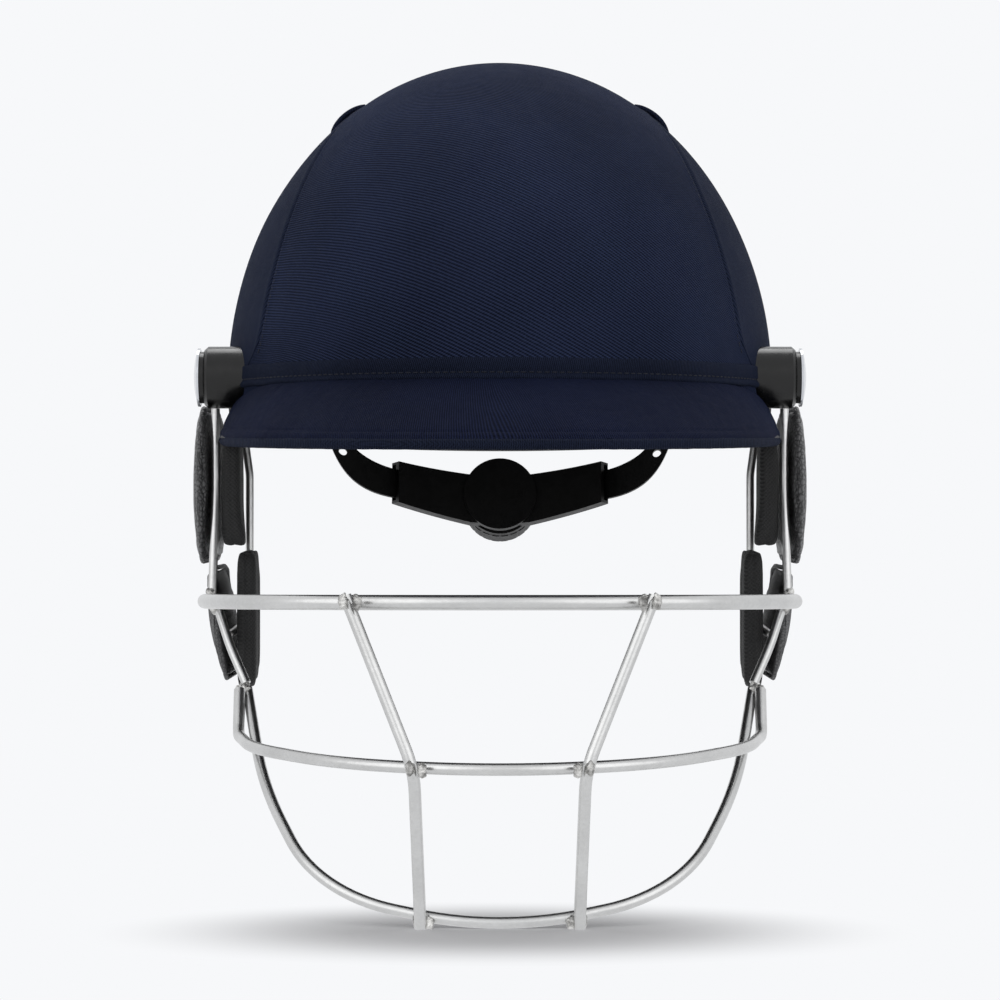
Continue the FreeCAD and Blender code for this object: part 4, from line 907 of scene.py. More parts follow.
@dataclass
class Cover:
    """The three-panel cloth cover with its seams, hem and vents."""

    rows: int = 130
    edge_steps: tuple = (0.0, 0.0004, 0.0009, 0.0016, 0.0026, 0.004, 0.006, 0.009)
    middle_columns: int = 52
    arc_steps: int = 48
    seam_sink: float = 0.0009
    sink_width: float = 0.0008
    seam_swell: float = 0.00035
    swell_place: float = 0.0024
    swell_width: float = 0.0019
    pucker: float = 0.00016
    pucker_reach: float = 0.007
    surface_wave: float = 0.00022
    hem_wave: float = 0.00018
    hem_wander: float = 0.0003
    surface_lift: float = 0.00015
    seam_start: tuple = (0.0965, -0.0455)
    seam_stop: tuple = (0.0462, 0.1170)
    stitch_setback: float = 0.0028
    seam_front: tuple = (
        (0.0958, -0.0510, 0.0276), (0.0915, -0.0617, 0.0340), (0.0875, -0.0690, 0.0431),
        (0.0838, -0.0692, 0.0609), (0.0797, -0.0656, 0.0776), (0.0743, -0.0579, 0.0947),
        (0.0687, -0.0463, 0.1095), (0.0607, -0.0271, 0.1246),
    )
    seam_crown: tuple = (
        (0.0555, -0.0080), (0.0508, 0.0200), (0.0480, 0.0500), (0.0472, 0.0850), (0.0464, 0.1165),
    )
    hem_top: float = 0.0335
    hem_bottom: float = 0.0255
    hem_lift: float = 0.0013
    hem_columns: int = 220
    hem_reach: float = 1.165
    stitch_height: float = 0.0028
    vent_lean: float = 34.0
    vent_y: float = 0.008
    vent_sink: float = 0.005
    vent_half: tuple = (0.013, 0.032, 0.008)
    mouth_y: float = -0.012
    binding: float = 0.0009
    foot_half: tuple = (0.0128, 0.02944)
    foot_rise: float = 0.004
    foot_lift: float = 0.0004
    foot_from_y: float = -0.004

    def seam_line(self, side: Side) -> Path:
        """Return the seam of one side from the brow's edge to the nape."""
        x = float(side.value)
        front_x, front_y = self.seam_start
        points = [Vector((front_x * x, front_y, DOME.edge_height(front_y)))]
        points += [Vector((place[0] * x, place[1], place[2])) for place in self.seam_front]
        points += [DOME.above(place[0] * x, place[1]) for place in self.seam_crown]
        last = points[-1]
        points.append(Vector((last.x, last.y + 0.0005, DOME.edge_height(last.y))))
        return resample([DOME.on(DOME.to_ball(p)) for p in flowing(points, 10)], self.rows + 1)

    def relief(self, distance: float, along: float, phase: float) -> float:
        """Return the cloth's height near a seam: a sunk line, a swell beside it and puckers."""
        sink = -self.seam_sink * bell(distance, self.sink_width)
        swell = self.seam_swell * bell(distance - self.swell_place, self.swell_width)
        wave = noise.noise(Vector((along * 210.0, phase, distance * 60.0)))
        return sink + swell + self.pucker * wave * math.exp(-distance / self.pucker_reach)

    def spacing(self, width: float) -> list[float]:
        """Return column distances across a row, close together at both edges."""
        squeeze = min(1.0, width / 2 / (self.edge_steps[-1] * 1.3))
        near = [step * squeeze for step in self.edge_steps]
        inner = width - 2 * near[-1]
        middle = [near[-1] + inner * (i + 1) / (self.middle_columns + 1) for i in range(self.middle_columns)]
        return near + middle + [width - step for step in reversed(near)]

    def panel(self, name: str, lines: tuple[Path, Path, Path], two_seams: bool, phase: float) -> Piece:
        """Lay one panel between two edges.

        Args:
            name: The piece's name.
            lines: The seam it starts from, the line its rows pass through and its other edge.
            two_seams: Whether the other edge is a seam too.
            phase: Shifts the puckers from panel to panel.

        Returns:
            The panel.
        """
        columns = len(self.spacing(1.0)) - 1
        piece = grid_piece(name, self.rows, columns)
        rows = []
        run = 0.0
        steps = self.arc_steps
        for places in zip(*lines):
            a, m, b = (DOME.to_ball(p) for p in places)
            fine = [DOME.on(ball_arc(a, m, b, i / steps)) for i in range(steps + 1)]
            lengths = [0.0]
            for p, q in zip(fine, fine[1:]):
                lengths.append(lengths[-1] + (q - p).length)
            if rows:
                run += (fine[steps // 2] - rows[-1][1][steps // 2]).length
            rows.append((lengths, fine, max(lengths[-1], 1e-5), run))

        def at(row: int, column: int) -> tuple[Vector, tuple]:
            """Place one point of the panel."""
            lengths, fine, width, down = rows[row]
            reach = self.spacing(width)[column]
            index = min(range(steps), key=lambda i: not lengths[i] <= reach <= lengths[i + 1] + TINY)
            span = max(lengths[index + 1] - lengths[index], TINY)
            place = fine[index].lerp(fine[index + 1], (reach - lengths[index]) / span)
            lift = self.relief(reach, down, phase)
            if two_seams:
                lift += self.relief(width - reach, down, phase + 7.0)
            broad = self.surface_wave * noise.noise(place * 26.0 + Vector((phase, 0, 0)))
            fade = min(1.0, max(0.0, (place.z - 0.03) / 0.03))
            surface = DOME.on(DOME.to_ball(place), lift + broad * fade + self.surface_lift)
            return surface, (reach - width / 2, down)

        lay_grid(piece, columns, at)
        Bench.outward(piece)
        return piece

    def brow_rows(self) -> tuple[Path, Path, Path]:
        """Return the front panel's left edge, middle line and right edge."""
        left, right = self.seam_line(Side.LEFT), self.seam_line(Side.RIGHT)
        centre, height, length = DOME.centre_height, DOME.half_height, DOME.half_length
        low_front = math.atan2(DOME.edge_height(-length) - centre, height)
        low_rear = math.pi - math.atan2(DOME.edge_height(length) - centre, height)
        middles = []
        for index in range(self.rows + 1):
            turn = low_front + (low_rear - low_front) * index / self.rows
            middles.append(DOME.on(Vector((0.0, -math.cos(turn), math.sin(turn)))))
        return left, middles, right

    def side_rows(self, side: Side) -> tuple[Path, Path, Path]:
        """Return a side panel's seam, middle line and lower edge."""
        seam = self.seam_line(side)
        x = float(side.value)
        edge = []
        ends = (self.seam_start, self.seam_stop)
        start, stop = (math.atan2(py / DOME.half_length, px / DOME.half_width) for px, py in ends)
        for index in range(self.rows + 1):
            turn = start + (stop - start) * (index / self.rows)
            y = DOME.half_length * math.sin(turn)
            drop = (DOME.edge_height(y) - DOME.centre_height) / DOME.half_height
            ring = math.sqrt(max(0.0, 1.0 - drop * drop))
            edge.append(DOME.on(Vector((x * ring * math.cos(turn), ring * math.sin(turn), drop))))
        middles = [DOME.on(DOME.to_ball(a) + DOME.to_ball(b)) for a, b in zip(seam, edge)]
        return seam, middles, edge

    def build_panels(self) -> dict[str, Piece]:
        made = {}
        front = self.panel("cover_front", self.brow_rows(), True, 0.0)
        made["front"] = finish_piece(front, NAVY_FRONT, "front_cloth_panel")
        for side in Side:
            piece = self.panel(f"cover_{side.label}", self.side_rows(side), False, 3.0 + side.value)
            made[side.label] = finish_piece(piece, NAVY_SIDE, f"{side.label}_cloth_panel")
        return made

    def build_stitches(self) -> list[Piece]:
        """Sew a row of stitches beside each seam, on the front panel."""
        rows = []
        for side in Side:
            path = self.seam_line(side)
            inward = []
            for before, here, after in zip(path, path[1:], path[2:]):
                up = DOME.normal(here)
                across = up.cross((after - before).normalized()) * side.value
                inward.append(DOME.on(DOME.to_ball(here + across * self.stitch_setback), 0.00035))
            line = [p for p in inward if p.z > 0.037]
            piece = sew(f"{side.label}_seam_stitches", line, DOME.normal, SEAM_STITCH)
            rows.append(finish_piece(piece, NAVY_THREAD))
        return rows

    def hem_profile(self) -> list[tuple[float, float]]:
        """Return heights and lifts down the folded hem, from its top to its tucked back."""
        top, low, lift = self.hem_top, self.hem_bottom, self.hem_lift
        return [
            (top, 0.0001), (top - 0.0002, 0.0006), (top - 0.0007, 0.0009), (top - 0.0020, 0.0010),
            (low + 0.0036, lift - 0.0001), (low + 0.0028, lift - 0.0005), (low + 0.0020, lift - 0.0001),
            (low + 0.0012, lift + 0.0003), (low + 0.0004, lift + 0.0001), (low, lift - 0.0005), (low, 0.0),
        ]

    def build_hem(self) -> list[Piece]:
        """Make the brow hem and its line of stitches."""
        columns, reach, profile = self.hem_columns, self.hem_reach, self.hem_profile()
        piece = grid_piece("brow_hem_fold", len(profile) - 1, columns)

        def ring_point(turn: float, height: float, lift: float) -> Vector:
            """Return a point of the brow at a turn from straight ahead."""
            drop = (height - DOME.centre_height) / DOME.half_height
            ring = math.sqrt(1.0 - drop * drop)
            return DOME.on(Vector((ring * math.sin(turn), -ring * math.cos(turn), drop)), lift)

        def at(row: int, column: int) -> tuple[Vector, tuple]:
            """Place one point of the hem."""
            turn = reach * (2.0 * column / columns - 1.0)
            height, lift = profile[row]
            wave = self.hem_wave * noise.noise(Vector((turn * 34.0, row * 0.3, 2.0)))
            wander = self.hem_wander * noise.noise(Vector((turn * 9.0, 5.0, 0.0)))
            return ring_point(turn, height + wander, lift + wave), (turn * 0.12, height)

        lay_grid(piece, columns, at)
        Bench.outward(piece)
        Bench.smooth(piece, 70.0)
        finish_piece(piece, NAVY_EDGE, "brow_hem")
        height, lift = self.hem_bottom + self.stitch_height, self.hem_lift - 0.0003
        line = [ring_point(reach * (i / 90 - 1.0), height, lift) for i in range(181)]
        seam = sew("brow_hem_stitches", line, DOME.normal, HEM_STITCH)
        finish_piece(seam, NAVY_THREAD)
        return [piece, seam]

    def vent_axes(self, side: Side) -> tuple[Vector, Vector]:
        """Return the centre and outward direction of a vent's swell."""
        lean = math.radians(self.vent_lean)
        x, rise = side.value * DOME.half_width * math.sin(lean), DOME.half_height * math.cos(lean)
        outward = Vector((x / DOME.half_width**2, 0.0, rise / DOME.half_height**2)).normalized()
        return Vector((x, self.vent_y, DOME.centre_height + rise)) - outward * self.vent_sink, outward

    def build_vents(self) -> None:
        """Edge each vent's mouth with a narrow rolled binding and sew its foot."""
        half_x, half_y, half_z = self.vent_half
        ahead = (self.mouth_y - self.vent_y) / half_y
        ring = math.sqrt(1.0 - ahead * ahead)
        for side in Side:
            centre, outward = self.vent_axes(side)
            across = Vector((0, 1, 0)).cross(outward).normalized()
            mouth, foot = [], []
            for index in range(61):
                turn = math.pi * index / 60
                p = centre + Vector((0, ahead * half_y, 0))
                p += across * (half_x * ring * math.cos(turn)) + outward * (half_z * ring * math.sin(turn))
                if (p - DOME.on(DOME.to_ball(p))).dot(DOME.normal(p)) > -0.0004:
                    mouth.append(p)
            for index in range(121):
                turn = math.pi * index / 120
                foot_x, foot_y = self.foot_half
                p = centre + Vector((0, foot_y * math.sin(turn), 0)) + across * (foot_x * math.cos(turn))
                foot.append(DOME.on(DOME.to_ball(p + outward * self.foot_rise), self.foot_lift))
            binding = tube(f"{side.label}_vent_binding", mouth, self.binding, 8, 0.1)
            finish_piece(binding, NAVY_HOOD)
            shown = [p for p in foot if p.y > self.foot_from_y]
            seam = sew(f"{side.label}_vent_stitches", shown, DOME.normal, VENT_STITCH)
            finish_piece(seam, NAVY_THREAD)
        dress(NAVY_HOOD, *both("vent_hood"))
        dress(TRIM_RUBBER, *both("vent_insert"))

    def build(self) -> None:
        """Make the whole cover."""
        panels = self.build_panels()
        sewn = [*self.build_stitches(), *self.build_hem()]
        self.build_vents()


# ---- Peak ----


@dataclass
class Peak:
    """The stiff peak with cloth above and below and a corded edge."""

    front_y: float = -0.182
    half_width: float = 0.1045
    root_height: float = 0.024
    edge_height: float = 0.0016
    crown: float = 0.0024
    squareness: float = 0.82
    wrap: float = 68.5
    edge_swing: float = 78.0
    core_half: float = 0.0013
    skin: float = 0.00105
    piping: float = 0.00155
    columns: int = 200
    rows: int = 30
    notch_y: float = -0.045
    notch_z: float = 0.0295
    notch_radius: float = 0.0121
    notch_from_x: float = 0.09
    flattening: float = 0.85
    crowding: float = 1.3
    cord_gap: float = 0.0002
    roll_depth: float = 0.0006
    roll_width: float = 0.0012
    groove_depth: float = 0.00035
    groove_place: float = 0.0042
    groove_width: float = 0.0009
    wave_height: float = 0.00025
    strain_height: float = 0.0002
    late_from: float = 0.72
    root_drop: float = 0.006
    edge_rise: float = 0.003
    end_margin: float = 0.6
    cord_margin: float = 0.15
    cord_radius: float = 0.0019
    cord_points: int = 240

    def station(self, angle: float) -> tuple[Vector, Vector, Vector, Vector]:
        """Return root, edge, outward and upward directions at an angle from straight ahead."""
        root_x, root_y = DOME.half_width + 0.0002, DOME.half_length + 0.0002
        share = angle / self.wrap
        turn = math.radians(angle)
        swing = math.radians(share * self.edge_swing)
        late = max(0.0, abs(share) - self.late_from) / (1.0 - self.late_from)
        height = self.root_height - self.root_drop * late**2
        root = Vector((root_x * math.sin(turn), -root_y * math.cos(turn), height))
        breadth = abs(math.sin(swing)) ** self.squareness
        edge = Vector(
            (
                math.copysign(self.half_width * breadth, angle),
                self.front_y * math.cos(swing) ** self.squareness,
                self.edge_height + self.edge_rise * share * share,
            )
        )
        along = (edge - root).normalized()
        tangent = Vector((math.cos(turn) * root_x, math.sin(turn) * root_y, 0)).normalized()
        normal = along.cross(tangent).normalized()
        return root, edge, along, normal

    def point(self, angle: float, distance: float, lift: float) -> Vector:
        """Return a point of the crowned peak at a distance from its root."""
        root, edge, along, normal = self.station(angle)
        share = distance / (edge - root).length
        fade = 1.0 - self.flattening * (angle / self.wrap) ** 4
        place = root + along * distance + normal * (4 * self.crown * fade * share * (1 - share) + lift)
        return self.round_boss(place)

    def round_boss(self, place: Vector) -> Vector:
        """Keep a point of the peak's end clear of the side boss."""
        away = Vector((0, place.y - self.notch_y, place.z - self.notch_z))
        if abs(place.x) > self.notch_from_x and away.length < self.notch_radius:
            away = away.normalized() * self.notch_radius
            return Vector((place.x, self.notch_y + away.y, self.notch_z + away.z))
        return place

    def width(self, angle: float) -> float:
        """Return the peak's width at an angle."""
        root, edge, _, _ = self.station(angle)
        return (edge - root).length

    def skin_piece(self, name: str, upper: bool) -> Piece:
        """Lay one cloth face, rolled down at the corded edge.

        Args:
            name: The piece's name.
            upper: Whether it is the upper face.

        Returns:
            The cloth face.
        """
        piece = grid_piece(name, self.rows, self.columns)
        sign = 1.0 if upper else -1.0
        level = sign * (self.core_half + self.skin)

        def at(row: int, column: int) -> tuple[Vector, tuple]:
            """Place one point of the face."""
            angle = (self.wrap - self.end_margin) * (2.0 * column / self.columns - 1.0)
            width = self.width(angle)
            share = row / self.rows
            reach = (1.0 - (1.0 - share) ** self.crowding) * (width - self.piping - self.cord_gap)
            edge_gap = width - self.piping - reach
            roll = -sign * self.roll_depth * bell(edge_gap, self.roll_width)
            groove = -sign * self.groove_depth * bell(edge_gap - self.groove_place, self.groove_width)
            place = self.point(angle, reach, level)
            wave = noise.noise(Vector((place.x * 42.0, place.y * 55.0, 3.0 + sign)))
            strain = noise.noise(Vector((angle * 0.8, reach * 25.0, 9.0)))
            uneven = sign * (self.wave_height * wave + self.strain_height * strain)
            cloth = (math.radians(angle) * 0.13, reach)
            return self.point(angle, reach, level + roll + groove + uneven), cloth

        lay_grid(piece, self.columns, at)
        Bench.outward(piece)
        if sign * sum(f.normal.z * f.area for f in piece.data.polygons) < 0:
            piece.data.flip_normals()
        return piece

    def edge_path(self, lift: float, inset: float) -> Path:
        """Return a line along the peak's free edge."""
        count, reach = self.cord_points, self.wrap - self.cord_margin
        angles = [reach * (2.0 * i / count - 1.0) for i in range(count + 1)]
        return [self.point(a, self.width(a) - inset, lift) for a in angles]

    def build(self) -> None:
        """Make the peak's cloth and corded edge."""
        faces = [
            finish_piece(self.skin_piece("peak_top_cloth", True), NAVY_PEAK, "peak_cloth_upper"),
            finish_piece(self.skin_piece("peak_under_cloth", False), NAVY_PEAK, "peak_cloth_lower"),
        ]
        cord = tube("peak_edge_cord", self.edge_path(0.0, self.piping), self.cord_radius, 12, 0.05)
        finish_piece(cord, NAVY_EDGE_CORD, "peak_piping")
        dress(SHELL_PLASTIC, "peak_core")


# ---- Side padding and lining ----


@dataclass(frozen=True)
class PadStyle:
    """How a padded piece is swelled from its CAD solid."""

    voxel: float
    pressure: float
    cap: float
    shrink: float
    fill: float


class Swelling:
    """Swells a padded piece by cloth simulation, with its movement capped."""

    FRAMES, QUALITY, STIFFNESS, SHEAR = 20, 4, 18.0, 8.0

    def __init__(self, style: PadStyle) -> None:
        """Hold the style."""
        self.style = style

    def run(self, piece: Piece) -> None:
        """Remesh the piece, swell it and smooth it.

        Args:
            piece: A closed copy of the CAD solid.
        """
        style = self.style
        Bench.apply(piece, "REMESH", mode="VOXEL", voxel_size=style.voxel, use_smooth_shade=True)
        normals = [v.normal.copy() for v in piece.data.vertices]
        for vertex, normal in zip(piece.data.vertices, normals):
            vertex.co -= normal * style.shrink
        self.simulate(piece)
        Bench.apply(piece, "SUBSURF", levels=1, render_levels=1)
        Bench.smooth_all(piece)

    def simulate(self, piece: Piece) -> None:
        """Step the cloth under pressure and cap how far each point moves."""
        start = [v.co.copy() for v in piece.data.vertices]
        Bench.pick(piece)
        modifier = piece.modifiers.new("cloth", "CLOTH")
        settings = modifier.settings
        settings.use_pressure = True
        settings.uniform_pressure_force = self.style.pressure
        settings.effector_weights.gravity = 0.0
        settings.quality = self.QUALITY
        settings.tension_stiffness = self.STIFFNESS
        settings.compression_stiffness = self.STIFFNESS
        settings.shear_stiffness = self.SHEAR
        modifier.point_cache.frame_start = 1
        modifier.point_cache.frame_end = self.FRAMES
        scene = bpy.context.scene
        for step in range(1, self.FRAMES + 1):
            scene.frame_set(step)
        bpy.ops.object.modifier_apply(modifier=modifier.name)
        scene.frame_set(1)
        for vertex, before in zip(piece.data.vertices, start):
            moved = vertex.co - before
            if moved.length > self.style.cap:
                vertex.co = before + moved.normalized() * self.style.cap


FIRM_PAD = PadStyle(0.0022, 3.0, 0.0012, 0.0008, 0.75)
SOFT_PAD = PadStyle(0.003, 4.0, 0.0018, 0.0012, 0.6)


@dataclass(frozen=True)
class FlapStyle:
    """One outer flap: its CAD node, its name, its finish and slot, its corners and its welt."""

    node: str
    name: str
    finish: Finish
    slot: str
    corner: float
    welt: float


EAR_FLAP = FlapStyle("left_ear_flap", "ear_flap_leather", EAR_LEATHER, "grained_leather", 0.02, 0.0011)
LOWER_FLAP = FlapStyle("left_lower_flap", "lower_flap_cloth", FLAP_CLOTH, "flap_fabric", 0.015, 0.0009)


@dataclass
class SidePadding:
    """Ear and lower flaps with the ribbed pads inside them."""

    rib_depth: float = 0.0011
    rib_width: float = 0.0013
    seam_inset: float = 0.0085
    seam_depth: float = 0.0009
    seam_width: float = 0.0016
    edge_seam_depth: float = 0.0006
    edge_seam_width: float = 0.0009
    cast_reach: float = 0.03
    corner_steps: int = 12

    def outline(self, node: str, x: float, draw: float, corner: float) -> Path:
        """Return a rounded outline just inside a pad's edges, on one plane across X.

        Args:
            node: The CAD node whose box gives the size.
            x: The plane's place.
            draw: How far inside the box the line runs.
            corner: Radius of the corners.

        Returns:
            A closed line of points.
        """
        low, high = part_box(node)
        front, rear = low.y + draw, high.y - draw
        bottom, top = low.z + draw, high.z - draw
        corner = min(corner, 0.49 * (rear - front), 0.49 * (top - bottom))
        far, near, low_z, high_z = rear - corner, front + corner, bottom + corner, top - corner
        points = []
        for y, z, start in ((far, low_z, -90), (far, high_z, 0), (near, high_z, 90), (near, low_z, 180)):
            for step in range(self.corner_steps + 1):
                turn = math.radians(start + step * 90.0 / self.corner_steps)
                points.append(Vector((x, y + corner * math.cos(turn), z + corner * math.sin(turn))))
        return resample(points + [points[0]], 220)

    def press(self, piece: Piece, depth_at: Callable[[Vector], float]) -> None:
        """Press sewn lines and ribs into a swelled piece along its normals."""
        normals = [v.normal.copy() for v in piece.data.vertices]
        for vertex, normal in zip(piece.data.vertices, normals):
            vertex.co -= normal * depth_at(vertex.co)
        piece.data.update()

    def on_face(self, piece: Piece, line: Path, lift: float) -> Path:
        """Drop a line along X onto a left piece's outer face."""
        points = []
        for p in line:
            start = Vector((p.x - self.cast_reach, p.y, p.z))
            hit, place, _, _ = piece.ray_cast(start, Vector((1, 0, 0)))
            if hit:
                points.append(place - Vector((lift, 0, 0)))
        return points

    def flap(self, style: FlapStyle) -> None:
        """Make an outer flap with a welt and a sewn edge, and its twin."""
        node, finish = style.node, style.finish
        piece = Bench.copy_node(node, f"left_{style.name}")
        Swelling(FIRM_PAD).run(piece)
        low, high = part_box(node)
        middle = (low.x + high.x) / 2
        line = self.outline(node, low.x, self.seam_inset, style.corner - 0.006)

        def sunk(place: Vector) -> float:
            """Sink a channel along the sewn line, on the outer face."""
            if place.x >= middle:
                return 0.0
            near = min((Vector((place.x, p.y, p.z)) - place).length for p in line[::3])
            return self.seam_depth * bell(near, self.seam_width)

        self.press(piece, sunk)
        sewn = self.on_face(piece, line, 0.0001)
        stitches = sew(f"left_{style.name}_stitches", sewn, lambda p: Vector((-1, 0, 0)), FLAP_STITCH)
        inner_line = self.outline(node, low.x, 0.0026, style.corner - 0.002)
        outer_line = self.outline(node, low.x, style.welt * 0.4, style.corner)
        face = self.on_face(piece, inner_line, -0.0016)
        edge = [Vector((f.x, o.y, o.z)) for f, o in zip(face, outer_line)]
        welt = tube(f"left_{style.name}_welt", edge, style.welt, 10, 0.06)
        parts = [(piece, finish, node), (stitches, BLACK_THREAD, ""), (welt, finish, "")]
        finish_pair(parts)

    def inner_pad(self, node: str, name: str, ribs: Sequence[float], feather: float, fullness: float) -> None:
        """Make an inner pad with sewn channels across it, and its twin.

        Args:
            node: The left CAD node.
            name: The piece's name without its side.
            ribs: Depths (Y) of the upright channels.
            feather: Share of the pad's thickness that is lost at its rear end.
            fullness: Share by which the pad's lower front is thicker.
        """
        piece = Bench.copy_node(node, f"left_{name}")
        Swelling(FIRM_PAD).run(piece)
        low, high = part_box(node)
        middle = (low.x + high.x) / 2

        def sunk(place: Vector) -> float:
            """Sink the upright channels and the seam round the pad's edge."""
            upright = sum(bell(place.y - rib, self.rib_width) for rib in ribs)
            seam = bell(place.x - middle, self.edge_seam_width)
            return self.rib_depth * min(1.0, upright) + self.edge_seam_depth * seam

        self.press(piece, sunk)
        for vertex in piece.data.vertices:
            share = (vertex.co.y - low.y) / (high.y - low.y)
            below = max(0.0, 1.0 - 2.0 * (vertex.co.z - low.z) / (high.z - low.z))
            depth = 1.0 - feather * share + fullness * below * below * (1.0 - share)
            vertex.co.x = low.x + (vertex.co.x - low.x) * depth
        finish_pair([(piece, PAD_KNIT, node)])

    def build(self) -> None:
        """Make every flap and pad at both sides of the face."""
        self.flap(EAR_FLAP)
        self.flap(LOWER_FLAP)
        self.inner_pad("left_ear_pad", "ear_pad_knit", (-0.04, -0.028, -0.012, 0.004, 0.02), 0.72, 0.42)
        self.inner_pad("left_cheek_pad", "cheek_pad_knit", (-0.038, -0.022, -0.006, 0.01), 0.52, 0.0)


class Lining:
    """The liner and the soft pads against the head."""

    def build(self) -> None:
        """Make the fit pads and dress the liner, nuts and hangers."""
        for node in ("brow_pad", "crown_pad", "left_fit_pad", "nape_pad"):
            piece = Bench.copy_node(node, f"{node}_soft")
            Swelling(SOFT_PAD).run(piece)
            if node.startswith("left"):
                finish_pair([(piece, LINING_KNIT, node)])
            else:
                finish_piece(piece, LINING_KNIT, node)
        dress(LINER_FOAM, "foam_liner")
        dress(SHELL_PLASTIC, "outer_shell")
        dress(TRIM_RUBBER, "rim_trim")
        dress(NUT_STEEL, *both("tee_nut"))
        dress(BLACK_PLASTIC, *both("strip_hanger", "rear_clip"))


# ---- Face guard ----


@dataclass(frozen=True)
class Weld:
    """One weld bead: its middle, the line it runs along and its size."""

    name: str
    middle: tuple[float, float, float]
    along: tuple[float, float, float]
    length: float
    radius: float
    seed: float


class FaceGuard:
    """The bent wires and the beads that join them."""

    RIPPLE, RIPPLE_TURNS, LUMP, BLUNTNESS = 0.07, 15.0, 0.28, 0.25

    def welds(self) -> list[Weld]:
        """Return the beads of the left side; the right side mirrors them."""
        return [
            Weld("cross_top_inner", (-0.0478, -0.1735, -0.0502), (0.0, 0.25, -1.0), 0.0056, 0.0016, 1.0),
            Weld("cross_top_outer", (-0.0524, -0.1722, -0.0500), (0.0, 0.3, -1.0), 0.0056, 0.0016, 2.0),
            Weld("cross_middle_inner", (-0.0259, -0.1785, -0.1058), (0.1, 0.1, -1.0), 0.0048, 0.0015, 3.0),
            Weld("cross_middle_outer", (-0.0300, -0.1780, -0.1052), (0.1, 0.1, -1.0), 0.0048, 0.0015, 4.0),
            Weld("cross_bottom_inner", (-0.0240, -0.1572, -0.1590), (0.0, -0.4, -1.0), 0.0050, 0.0016, 5.0),
            Weld("cross_bottom_outer", (-0.0280, -0.1568, -0.1586), (0.0, -0.4, -1.0), 0.0050, 0.0016, 6.0),
            Weld("upright_foot", (-0.1066, -0.0545, -0.0500), (0.2, 1.0, 0.1), 0.0050, 0.0017, 7.0),
            Weld("side_rod_head", (-0.1048, -0.0560, -0.0562), (0.5, 0.8, -0.5), 0.0056, 0.0018, 8.0),
            Weld("rear_rod_foot", (-0.1000, -0.0592, -0.0658), (0.3, 1.0, 0.2), 0.0056, 0.0015, 9.0),
            Weld("cluster_front", (-0.0938, -0.0724, -0.0850), (1.0, 0.2, 0.3), 0.0060, 0.0019, 10.0),
            Weld("cluster_back", (-0.0932, -0.0694, -0.0842), (0.3, 0.3, 1.0), 0.0060, 0.0018, 11.0),
        ]

    def bead(self, weld: Weld) -> Piece:
        """Model one rippled bead.

        Args:
            weld: Its place and size.

        Returns:
            The bead with its place in its mesh.
        """
        Bench.clear()
        bpy.ops.mesh.primitive_uv_sphere_add(segments=20, ring_count=24, radius=1.0)
        piece = bpy.context.object
        piece.name = weld.name
        along = Vector(weld.along).normalized()
        turn = Vector((0, 0, 1)).rotation_difference(along).to_matrix()
        for vertex in piece.data.vertices:
            p = vertex.co.copy()
            ripple = 1.0 + self.RIPPLE * math.sin(p.z * self.RIPPLE_TURNS + 2.0 * p.x + weld.seed)
            lump = 1.0 + self.LUMP * noise.noise(p * 1.7 + Vector((weld.seed, 0, 0)))
            body = math.sqrt(max(0.0, 1.0 - p.z * p.z)) ** -self.BLUNTNESS if abs(p.z) < 0.97 else 1.0
            thick = weld.radius * ripple * body
            local = Vector((p.x * thick, p.y * thick, p.z * weld.length / 2))
            vertex.co = Vector(weld.middle) + turn @ (local * lump)
        return piece

    def build(self) -> None:
        """Dress the wires and lay the beads on both sides."""
        dress(WIRE_STEEL, "top_bar", "middle_bar", "chin_bar")
        dress(WIRE_STEEL, *both("cross_bar", "front_upright", "side_rod", "rear_rod"))
        beads = [self.bead(weld) for weld in self.welds()]
        Bench.clear()
        for bead in beads:
            bead.select_set(True)
        bpy.context.view_layer.objects.active = beads[0]
        bpy.ops.object.join()
        left = bpy.context.object
        left.name = "left_guard_welds"
        Bench.smooth_all(left)
        finish_pair([(left, WELD_STEEL, "")])


# ---- Side bosses and adjuster ----


class Hardware:
    """The side bosses with their caps, and the rear size adjuster."""

    def build(self) -> None:
        """Dress the hard fittings."""
        dress(BOSS_PLASTIC, *both("boss"))
        dress(CAP_CHROME, *both("cap_screw"))
        dress(BLACK_PLASTIC, *both("size_strip"), "adjuster_housing", "adjuster_cover")
        dress(BLACK_PLASTIC, "size_dial", "dial_pinion")
        dress(NUT_STEEL, "click_spring")


# ---- Studio ----


